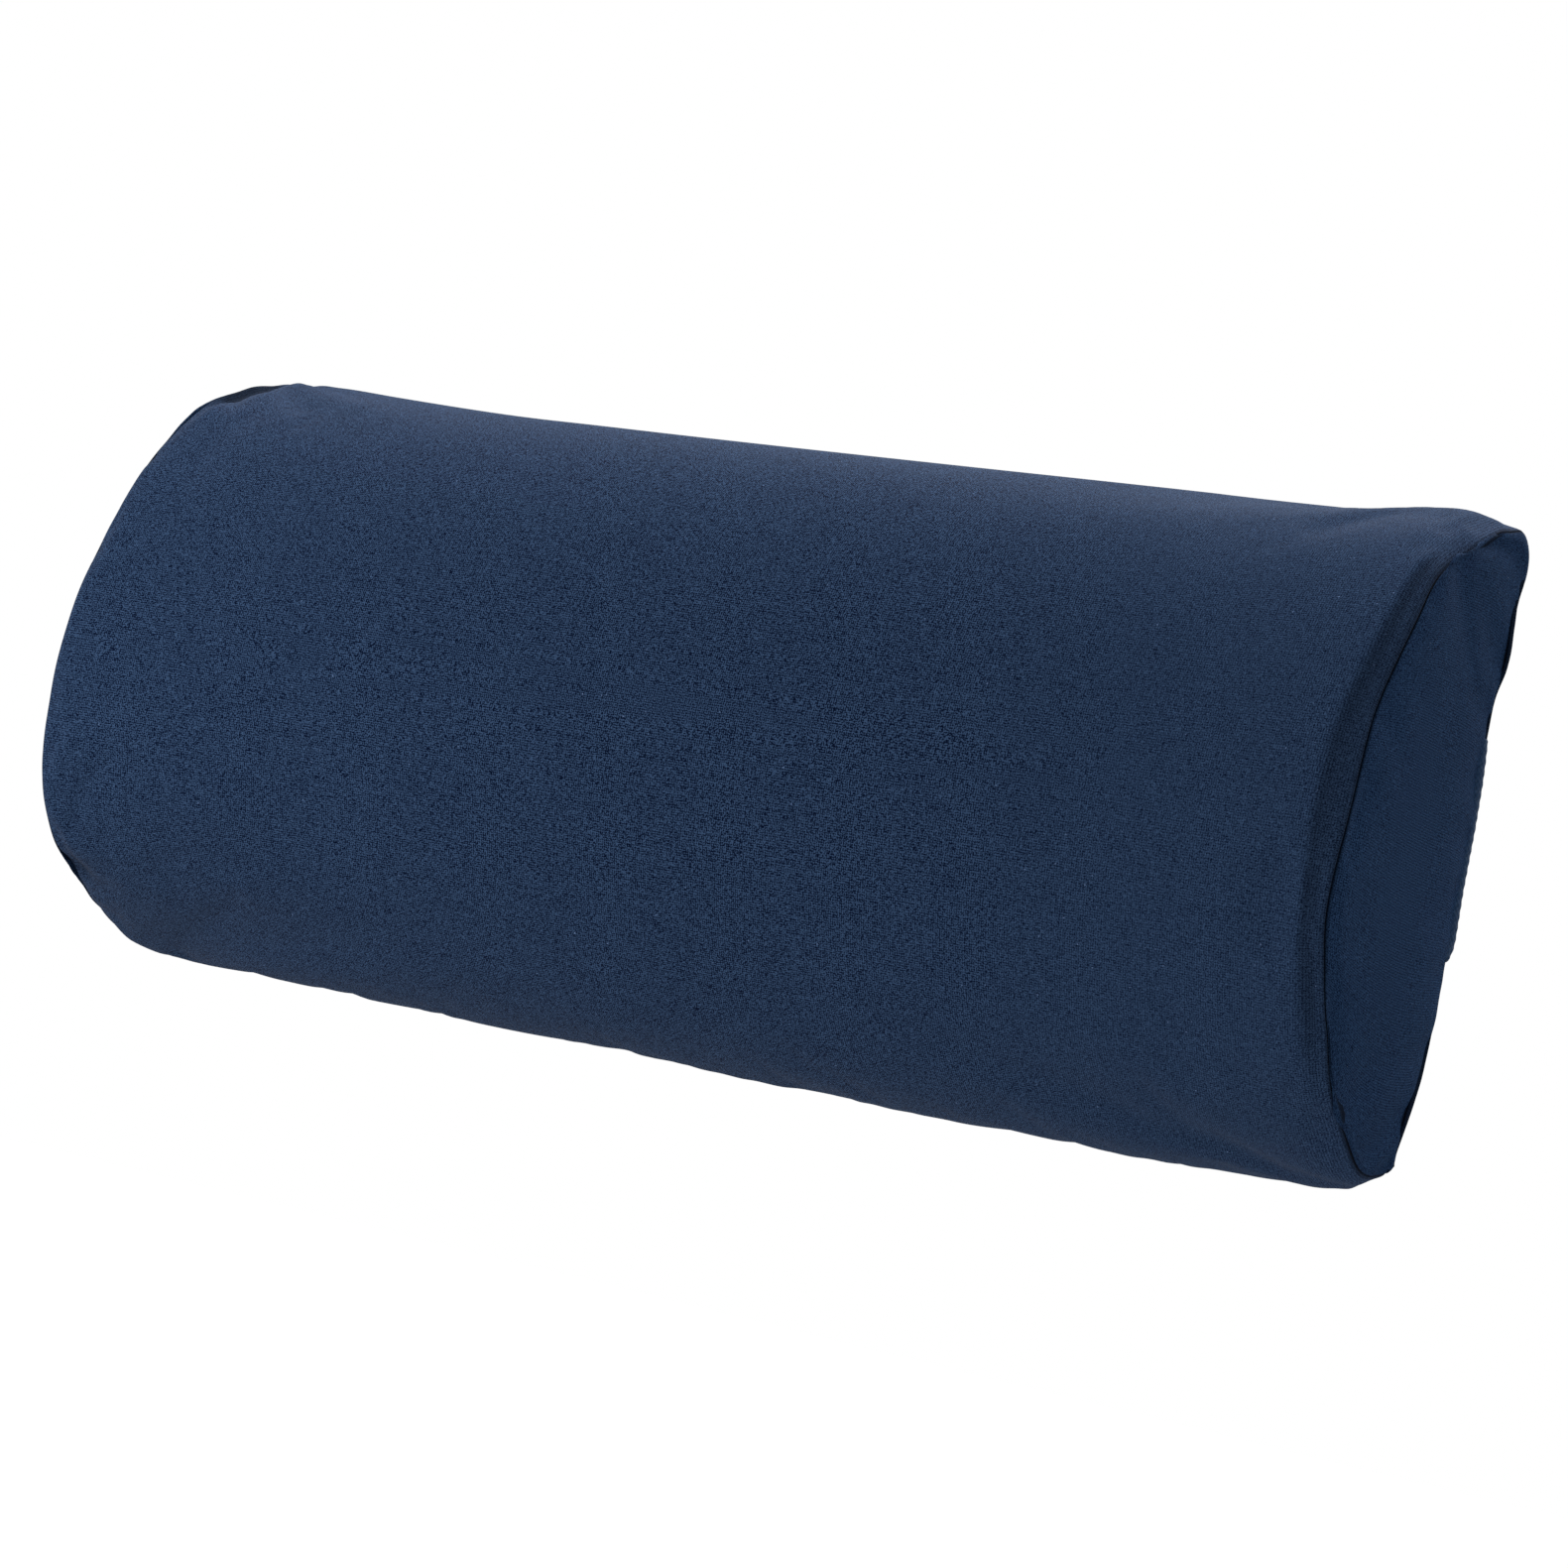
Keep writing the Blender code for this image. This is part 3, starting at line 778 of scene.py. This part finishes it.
def tube_points(line, radius, sides):
    """Points round a line of 3-D points; radius is one number or one per point."""
    line = np.asarray(line, float)
    ahead = unit(np.gradient(line, axis=0))
    across = unit(np.cross(ahead, (0.31, 0.27, 0.91)))
    over = np.cross(ahead, across)
    turn = np.linspace(0, 2 * pi, sides, endpoint=False)
    radius = np.broadcast_to(np.asarray(radius, float), len(line))[:, None, None]
    ring = np.cos(turn)[None, :, None] * across[:, None] + np.sin(turn)[None, :, None] * over[:, None]
    return (line[:, None] + radius * ring).reshape(-1, 3)


def tube_piece(name, line, radius, sides, finish):
    return closed_piece(name, tube_points(line, radius, sides), tube_faces(len(line), sides), finish)


# ---------------- foam

FOAM_INSET = 0.0060
# Distances from the foam's ends, and how much smaller its section is there.
FOAM_ROUNDING = ((0, 0.003), (0.001, 0.0012), (0.003, 0))
FOAM_DARK = (0.62, 0.56, 0.40)
FOAM_LIGHT = (0.84, 0.79, 0.62)
FOAM_CELLS = 900.0


def foam_material():
    """Open-cell foam: small cells in a cream that varies a little."""
    made, tree, shader, calc = new_material("Foam")
    place = object_place(tree)
    cells = new_node(tree, "TexVoronoi", {"Vector": place, "Scale": FOAM_CELLS}).outputs["Distance"]
    tone = calc("MULTIPLY", noise_node(tree, place, 40.0, 3.0), 0.4)
    set_inputs(tree, shader, {
        "Base Color": mix_colour(tree, calc("MULTIPLY_ADD", cells, 0.7, tone), FOAM_DARK, FOAM_LIGHT),
        "Roughness": 0.95, "Normal": bump_node(tree, cells, 0.0004),
    })
    return made


def foam_piece():
    """The foam block that fills the cover, with softly rounded ends."""
    rings = []
    right = [(HALF_LENGTH - FOAM_INSET - from_end, inset) for from_end, inset in FOAM_ROUNDING]
    for x, inset in [(-x, inset) for x, inset in right] + right[::-1]:
        section = spaced(half_moon(FOAM_INSET + inset), 90)
        rings.append(np.column_stack([np.full(len(section), x), section]))
    faces = tube_faces(len(rings), len(rings[0]))
    foam = closed_piece("foam_block", np.concatenate(rings), faces, foam_material())
    foam.data.set_sharp_from_angle(angle=radians(40))
    declare(foam, "foam", "root", "foam_core")


# ---------------- zip

COIL_PITCH = 0.0013
COIL_WIRE = 0.00033
COIL_HALF_DEPTH = 0.00085
COIL_OVERLAP = 0.0003
TAPE_COLOUR = (0.010, 0.017, 0.036)
NYLON_COLOUR = (0.012, 0.019, 0.040)
METAL_COLOUR = (0.33, 0.34, 0.36)
THREAD_COLOUR = (0.022, 0.036, 0.070)
PIT_SCALE = 800.0
# The tape: places across it, its cord's rise there, its lift in the CAD tape's box, its waves and dip.
TAPE_ACROSS = (0, 0.0004, 0.0009, 0.0016, 0.0022, 0.0028, 0.0036, 0.0050, 0.0070, 0.0090, 0.0110)
TAPE_RISE = (0, 0.00006, 0.00012, 0.00012, 0.00012, 0.00006, 0, 0, 0, 0, 0, 0)
TAPE_LIFT = 0.0007
TAPE_WAVE = 0.00005
TAPE_WAVES = 160
TAPE_THICKNESS = 0.0006
END_DIP = 0.0006
# The slider: its plates, their rounded edges and nose, how far it is waisted, its rims and the pull's
# bridge, which is broader than it is thick.
PLATE = 0.0010
PLATE_EDGE = 0.00035
NOSE = 0.0030
WAIST = 0.0008
RIM_RADIUS = 0.00045
BRIDGE_RADIUS = 0.00055
BRIDGE_BREADTH = 1.45
BRIDGE_HALF_SPAN = 0.0025
BRIDGE_RISE = 0.0029
# The pull's tab: half its thickness between its rounded edges, the roundness of those, and its grip
# ridges: each one's rise and reach across the tab's half-width, and where the first one is.
TAB_HALF = 0.00022
TAB_EDGE = 0.0002
RIDGES = 4
RIDGE_PATH = ((0.00040, -0.62), (0.00046, -0.3), (0.00046, 0.3), (0.00040, 0.62))
RIDGE_RADIUS = 0.00022
RIDGE_SPACING = 0.0018
FIRST_RIDGE = 0.0035


def plain_material(name, colour, roughness, metallic=0.0, wear=0.0, bump_size=0.0):
    """A worn metal or moulded plastic: its tone, roughness and surface vary a little."""
    made, tree, shader, calc = new_material(name)
    place = object_place(tree)
    blotch = noise_node(tree, place, 220.0, 4.0, 0.6)
    scratch = noise_node(tree, scaled_vector(tree, place, (3000.0, 900.0, 900.0)), 1.0)
    dull = tuple(c * (1 - wear) for c in colour)
    set_inputs(tree, shader, {
        "Base Color": mix_colour(tree, blotch, dull, colour), "Metallic": metallic,
        "Roughness": calc("MULTIPLY_ADD", scratch, 0.25, roughness - 0.12),
    })
    if bump_size:
        pits = noise_node(tree, place, PIT_SCALE, 3.0)
        set_inputs(tree, shader, {"Normal": bump_node(tree, pits, bump_size)})
    return made


def zip_coil(name, side, finish):
    """One nylon coil: a flattened helix whose loops reach in between those of its twin."""
    turns = int((coil_high.x - coil_low.x) / COIL_PITCH)
    steps = 12
    turn = np.arange(turns * steps + 1) * 2 * pi / steps
    shift = 0.25 * COIL_PITCH * side
    x = -turns * COIL_PITCH / 2 + turn / (2 * pi) * COIL_PITCH + shift
    middle_y = (coil_low.y + coil_high.y) / 2
    inner = ZIP_Z - side * COIL_OVERLAP
    outer = ZIP_Z + side * (coil_high.z - ZIP_Z)
    centre = (inner + outer) / 2
    reach = abs(outer - inner) / 2 - COIL_WIRE
    z = centre - side * reach * np.cos(turn)
    y = middle_y + (COIL_HALF_DEPTH - COIL_WIRE) * np.sin(turn)
    line = np.stack([x, y, z], 1)
    return tube_piece(name, line, COIL_WIRE, 6, finish)


def zip_tape(name, side, finish):
    """A woven zip tape with a raised cord along the coil; it dips where the back's ends do."""
    rows = np.linspace(tape_low.x, tape_high.x, 119)
    across = np.array([*TAPE_ACROSS, tape_high.z - tape_low.z])
    z = ZIP_Z + side * (tape_low.z - ZIP_Z + across)
    u, v = np.meshgrid(rows, across, indexing="ij")
    wave = TAPE_WAVE * np.sin(rows * TAPE_WAVES)[:, None] * (v > 0.003)
    level = np.broadcast_to(z, u.shape)
    dip = np.minimum(back_rise(u, level), 0) - END_DIP * smoothstep(0.12, 0.16, np.abs(u)) * (v > 0.0045)
    grid = np.stack([u, tape_low.y + TAPE_LIFT + np.array(TAPE_RISE)[None] + wave + dip, level], -1)
    faces = grid_faces(np.arange(u.size).reshape(u.shape))
    piece = mesh_piece(name, grid.reshape(-1, 3), faces, finish)
    if piece.data.polygons[0].normal.y < 0:
        piece.data.flip_normals()
    store_cloth(piece.data, u, v, u * 0)
    configure(piece.modifiers.new("Tape thickness", "SOLIDIFY"), thickness=TAPE_THICKNESS, offset=-1.0)
    return piece


def rounded_plate(name, outline, low_y, high_y, bevel, finish):
    """A flat piece from an outline of (x, z) points, between two levels of y, with rounded edges."""
    points = [(x, y, z) for y in (low_y, high_y) for x, z in outline]
    piece = closed_piece(name, points, tube_faces(2, len(outline)), finish)
    configure(piece.modifiers.new("Rounded edges", "BEVEL"), width=bevel, segments=3,
              limit_method="ANGLE", angle_limit=radians(40))
    return piece


def slider_outline(x, half_length, wide, narrow):
    """The slider's plate from above: a broad nose where the coils part, waisted towards the tail."""
    turn = np.linspace(-pi / 2, pi / 2, 13)
    nose = np.stack([x + half_length - NOSE + NOSE * np.cos(turn), wide * np.sin(turn)], 1)
    tail_x = x - half_length
    side = np.array([(tail_x + 0.0042, narrow), (tail_x + 0.0008, narrow), (tail_x, narrow - 0.0008)])
    tail = np.concatenate([side, side[::-1] * (1, -1)])
    return [(px, ZIP_Z + pz) for px, pz in np.concatenate([nose, tail])]


def zip_slider(finish):
    """Top and bottom plates with turned-down rims, the post between them and the bridge for the pull."""
    x = (slider_low.x + slider_high.x) / 2
    half = (slider_high.x - slider_low.x) / 2
    wide = (slider_high.z - slider_low.z) / 2
    top_low = coil_high.y + 0.0003
    low = slider_low.y
    outline = slider_outline(x, half, wide, wide - WAIST)
    top = rounded_plate("zipper_slider_body", outline, top_low, top_low + PLATE, PLATE_EDGE, finish)
    rounded_plate("zipper_slider_back", outline, low, low + PLATE, PLATE_EDGE, finish).parent = top
    outline = slider_outline(x + half - NOSE, 0.0020, 0.0006, 0.0004)
    post = rounded_plate("zipper_slider_post", outline, low + 0.0006, top_low + 0.0004, 0.0001, finish)
    post.parent = top
    for word, side in (("lower", -1), ("upper", 1)):
        rim_z = ZIP_Z + side * (wide - 0.0005)
        line = [
            (x - half + 0.0012, top_low + 0.0002, rim_z - side * 0.0008),
            (x - half + 0.0042, top_low + 0.0001, rim_z - side * 0.0007),
            (x + half - 0.0032, top_low + 0.0001, rim_z),
            (x + half - 0.0020, top_low + 0.0002, rim_z - side * 0.0004),
        ]
        tube_piece("zipper_slider_rim_" + word, line, RIM_RADIUS, 8, finish).parent = top
    turn = np.linspace(0, pi, 17)
    arch_y = top_low + 0.0006 + BRIDGE_RISE * np.sin(turn) ** 0.6
    arch = np.stack([x + BRIDGE_HALF_SPAN * np.cos(turn), arch_y, turn * 0 + ZIP_Z], 1)
    points = tube_points(arch, BRIDGE_RADIUS, 8)
    points[:, 2] = ZIP_Z + (points[:, 2] - ZIP_Z) * BRIDGE_BREADTH
    closed_piece("zipper_slider_bridge", points, tube_faces(len(arch), 8), finish).parent = top
    return top


def zip_pull(finish):
    """The pull: a rounded tab with grip ridges, hung by its eye."""
    pull_low, pull_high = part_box("zipper_pull")
    middle = (pull_low.y + pull_high.y) / 2
    half = (pull_high.z - pull_low.z) / 2
    eye_half = 0.0023
    hole_half = 0.0013
    near = pull_high.x
    bar = 0.0011
    hole_far = near - bar - 0.0038
    neck = hole_far - 0.0016
    end_centre = pull_low.x + half
    turn = np.linspace(0, pi / 2, 7)
    upper = [(near - 0.0006, eye_half - 0.0002), (near - 0.0012, eye_half), (neck + 0.0006, eye_half)]
    upper += [(neck - 0.0024, half)]
    upper += [(end_centre - half * sin(t), half * cos(t)) for t in turn]
    lower = [(px, -pz) for px, pz in upper[::-1]]
    outer = [(near, -(eye_half - 0.0008)), (near, eye_half - 0.0008)] + upper + lower
    hole = [(near - bar, -hole_half), (near - bar, hole_half), (hole_far, hole_half), (hole_far, -hole_half)]
    curve = configure(bpy.data.curves.new("zipper_pull_tab", "CURVE"), dimensions="2D", fill_mode="BOTH",
                      extrude=TAB_HALF, bevel_depth=TAB_EDGE, bevel_resolution=2)
    for outline in (outer, hole):
        spline = curve.splines.new("POLY")
        spline.points.add(len(outline) - 1)
        for point, (px, pz) in zip(spline.points, outline):
            point.co = (px, pz, 0, 1)
        spline.use_cyclic_u = True
    flat = add_object("flat_tab", curve)
    bpy.context.view_layer.update()
    mesh = bpy.data.meshes.new_from_object(flat.evaluated_get(bpy.context.evaluated_depsgraph_get()))
    bpy.data.objects.remove(flat, do_unlink=True)
    mesh.transform(Matrix.Translation((0, middle, ZIP_Z)) @ Matrix.Rotation(pi / 2, 4, "X"))
    mesh.name = "zipper_pull_tab"
    mesh.materials.append(finish)
    tab = add_object("zipper_pull_tab", mesh)
    weld(mesh, outwards=True)
    mesh.shade_smooth()
    mesh.set_sharp_from_angle(angle=radians(35))
    for number in range(RIDGES):
        x = end_centre + FIRST_RIDGE - RIDGE_SPACING * number
        line = [(x, middle + rise, ZIP_Z + half * share) for rise, share in RIDGE_PATH]
        tube_piece("zipper_pull_ridge_%d" % number, line, RIDGE_RADIUS, 6, finish).parent = tab
    return tab


def zip_pieces():
    tape_finish = woven_material("Zip tape", TAPE_COLOUR, thread=0.0006, sheen=0.15, contrast=0.5)
    nylon = plain_material("Zip coil nylon", NYLON_COLOUR, 0.42, wear=0.25)
    metal = plain_material("Zip metal", METAL_COLOUR, 0.34, metallic=1.0, wear=0.3, bump_size=0.00003)
    for word, side in (("upper", 1), ("lower", -1)):
        declare(zip_tape(word + "_tape", side, tape_finish), "zip_tape", "root", word + "_zipper_tape")
        declare(zip_coil(word + "_coil", side, nylon), "zip_coil", "root", word + "_zipper_coil")
    declare(zip_slider(metal), "zip_metal", "zip_slider", "zipper_slider")
    declare(zip_pull(metal), "zip_metal", "zip_pull", "zipper_pull")
    for name in ("left_zipper_stop", "right_zipper_stop"):
        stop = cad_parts[name]
        stop.data.materials.clear()
        stop.data.materials.append(metal)


# ---------------- strap

ELASTIC_DARK = (0.004, 0.012, 0.028)
ELASTIC_LIGHT = (0.013, 0.032, 0.072)
KNIT_LENGTH = 0.0011
KNIT_WIDTH = 0.0016


def elastic_material():
    """Knitted elastic: small stitches and fuzz; the ribs are in the band's mesh."""
    made, tree, shader, calc = new_material("Strap elastic")
    cloth, (along, across, _) = cloth_places(tree)
    stitch = calc("SINE", calc("MULTIPLY", along, 2 * pi / KNIT_LENGTH))
    zigzag = calc("SINE", calc("MULTIPLY", across, 2 * pi / KNIT_WIDTH))
    knit = calc("MULTIPLY", stitch, zigzag)
    fuzz = noise_node(tree, scaled_vector(tree, cloth, (3500.0, 1600.0, 1.0)), 1.0, 3.0)
    height = calc("MULTIPLY_ADD", knit, 0.35, fuzz)
    factor = calc("MULTIPLY_ADD", knit, 0.25, calc("MULTIPLY", fuzz, 0.8))
    factor.node.use_clamp = True
    set_inputs(tree, shader, {
        "Base Color": mix_colour(tree, factor, ELASTIC_DARK, ELASTIC_LIGHT), "Roughness": 0.8,
        "Specular IOR Level": 0.03, "Sheen Weight": 0.02, "Sheen Roughness": 0.5,
        "Normal": bump_node(tree, height, 0.00025, strength=0.8),
    })
    return made


# The band's way to its seam at the end: x, how much of its bow it has there, and how far it has turned in.
STRAP_PATH = (
    (0.1180, 0.0, 0.0), (0.1400, 0.0, 0.0), (0.1500, 0.05, 0.0), (0.1600, 0.25, 0.0), (0.1680, 0.60, 0.0),
    (0.1730, 0.90, 0.0), (0.1755, 1.0, 0.0002), (0.1768, 1.0, 0.0012), (0.1770, 1.0, 0.0028),
    (0.1762, 1.0, 0.0044), (0.1748, 1.0, 0.0058),
)
# How far the band bows off the back's plane beside the seam, in millimetres, at heights on the back.
STRAP_HEIGHTS = (-20, -17, -15, -4, 10, 20, 25, 30)
STRAP_BOW = (2.4, 3.8, 3.8, 2.2, 1.3, 0, -1.1, -2.6)
RIB_HEIGHT = 0.00006
RIBS = 20
# Where the band's flat middle part ends and its way to the sewn end begins.
BLEND_END = 0.118


def strap_half(name, side, finish):
    """Half of the elastic band, ribbed along its length; near its end it bows off the back into the seam."""
    bend = np.array(STRAP_PATH)
    run = running(np.hypot(np.diff(bend[:, 0]), np.diff(bend[:, 2])))
    at = np.linspace(0, run[-1], 56)
    bend = cubic(bend, np.interp(at, run, np.arange(len(run))))
    flat = np.zeros((59, 3))
    flat[:, 0] = np.linspace(0, BLEND_END, 60)[:-1]
    x, bowed, turned = np.concatenate([flat, bend]).T
    across = np.linspace(strap_low.z, strap_high.z, 101)
    distance = running(np.hypot(np.diff(x), np.diff(turned)))
    u, v = np.meshgrid(distance, across, indexing="ij")
    bow = np.interp(v * 1000, STRAP_HEIGHTS, STRAP_BOW) * 0.001
    middle = np.stack([side * x[:, None] + 0 * v, bowed[:, None] * bow - turned[:, None], v], -1)
    normal = unit(np.cross(np.gradient(middle, axis=0), np.gradient(middle, axis=1)))
    if normal[0, 50, 1] < 0:
        normal = -normal
    rib = RIB_HEIGHT * np.cos((v - STRAP_Z) / (strap_high.z - strap_low.z) * 2 * pi * RIBS)
    edge = np.minimum(v - strap_low.z, strap_high.z - v)
    thin = 0.5 * roll(edge, 0.0006)
    top = middle + normal * (strap_high.y - 0.0001 + rib - thin)[..., None]
    under = middle + normal * (strap_low.y + 0.5 * thin)[..., None]
    points = np.concatenate([top.reshape(-1, 3), under.reshape(-1, 3)])
    index = np.arange(u.size).reshape(u.shape)
    below = index + u.size
    rim = np.concatenate([index[:, 0], index[-1, 1:], index[-2::-1, -1], index[0, -2:0:-1]])
    rim_below = rim + u.size
    walls = np.stack([rim, np.roll(rim, -1), np.roll(rim_below, -1), rim_below], 1)
    faces = np.concatenate([grid_faces(index), grid_faces(below, flip=True), walls])
    piece = mesh_piece(name, points, faces, finish)
    store_cloth(piece.data, *(np.tile(values.ravel(), 2) for values in (u, v, u * 0)))
    weld(piece.data, outwards=True)
    return piece


STITCH_LENGTH = 0.0026
STITCH_GAP = 0.0009
STITCH_RADIUS = 0.00017
STITCH_EDGE = 0.0035
STITCH_END = 0.006


def stitch_row(name, z, finish):
    """A row of stitches along the back; each is a short thread that dips in at both ends."""
    run = 2 * (HALF_LENGTH - STITCH_END)
    pitch = STITCH_LENGTH + STITCH_GAP
    count = int(run / pitch)
    start = (STITCH_GAP - count * pitch) / 2
    t = np.linspace(0, 1, 6)
    level = 0.00022 * (1 - (2 * t - 1) ** 4) - 0.00006
    points = []
    faces = []
    for number in range(count):
        line = np.stack([start + number * pitch + STITCH_LENGTH * t, level, t * 0 + z], 1)
        faces += [face + len(points) for face in tube_faces(len(t), 6)]
        points += list(tube_points(line, STITCH_RADIUS, 6))
    return closed_piece(name, points, faces, finish)


def strap_pieces():
    elastic = elastic_material()
    for word, side in (("left", -1), ("right", 1)):
        half = strap_half("strap_%s_half" % word, side, elastic)
        half.data.set_sharp_from_angle(angle=radians(50))
        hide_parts("strap_%s_end" % word, "strap_middle")
        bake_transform(half)


def zip_stitches():
    thread = woven_material("Cover thread", THREAD_COLOUR, thread=0.0002, contrast=0.5)
    for word, z in (("upper", SLIT_HIGH + STITCH_EDGE), ("lower", SLIT_LOW - STITCH_EDGE)):
        declare(stitch_row("%s_zip_stitches" % word, z, thread), "cover_fabric", "root")


# ---------------- floor, lights and camera

FLOOR_Z = -0.42
FLOOR_SIZE = 60.0
FLOOR_COLOUR = (0.16, 0.16, 0.16, 1.0)
FLOOR_GLOW = 0.86
WHITE = (1.0, 1.0, 1.0, 1.0)
# Each light's name, place, what it points at, its size and its power.
LIGHTS = (
    ("top light", (0.0, 0.64, 1.27), (0, 0, 0), 1.4, 76.0),
    ("left light", (-0.42, -0.42, 0.02), (-0.10, 0, 0), 0.25, 2.6),
)
CAMERA_YAW = 31.19
CAMERA_PITCH = -7.13
CAMERA_TILT = 13.43
CAMERA_LENS = 91.08
CAMERA_DISTANCE = 0.982
CAMERA_SIDE = -0.0009
CAMERA_RISE = -0.0047


def make_stage():
    """A plain pale floor that glows a little, and pale light from all round."""
    bpy.ops.mesh.primitive_plane_add(size=FLOOR_SIZE, location=(0, 0, FLOOR_Z))
    floor = bpy.context.object
    floor.name = "floor"
    made, tree, shader, _ = new_material("Pale floor")
    set_inputs(tree, shader, {
        "Base Color": FLOOR_COLOUR, "Roughness": 0.9, "Specular IOR Level": 0.0,
        "Emission Color": WHITE, "Emission Strength": FLOOR_GLOW,
    })
    floor.data.materials.append(made)
    world = bpy.data.worlds.new("Pale studio")
    world.use_nodes = True
    tree = world.node_tree
    set_inputs(tree, tree.nodes["Background"], {"Color": WHITE, "Strength": 1.0})
    bpy.context.scene.world = world


def area_light(name, position, target, size, power):
    data = configure(bpy.data.lights.new(name, "AREA"), shape="SQUARE", size=size, energy=power)
    light = configure(add_object(name, data), visible_camera=False, location=position)
    light.rotation_euler = (Vector(target) - Vector(position)).to_track_quat("-Z", "Y").to_euler()


def make_camera():
    """The camera at the photograph's viewing angle, turned about its own line of sight by the tilt."""
    yaw, pitch, tilt = radians(CAMERA_YAW), radians(CAMERA_PITCH), radians(CAMERA_TILT)
    forward = Vector((-sin(yaw) * cos(pitch), cos(yaw) * cos(pitch), -sin(pitch)))
    level_right = Vector((cos(yaw), sin(yaw), 0))
    level_up = level_right.cross(forward)
    right = cos(tilt) * level_right + sin(tilt) * level_up
    up = cos(tilt) * level_up - sin(tilt) * level_right
    data = configure(bpy.data.cameras.new("camera"), lens=CAMERA_LENS, sensor_width=36.0, clip_end=50.0)
    camera = add_object("camera", data)
    basis = Matrix((right, up, -forward)).transposed().to_4x4()
    basis.translation = -forward * CAMERA_DISTANCE + level_right * CAMERA_SIDE + level_up * CAMERA_RISE
    camera.matrix_world = basis
    bpy.context.scene.camera = camera


make_stage()
make_camera()
for light in LIGHTS:
    area_light(*light)
bpy.context.scene.view_settings.view_transform = "Standard"
cover_pieces()
foam_piece()
zip_pieces()
strap_pieces()
zip_stitches()
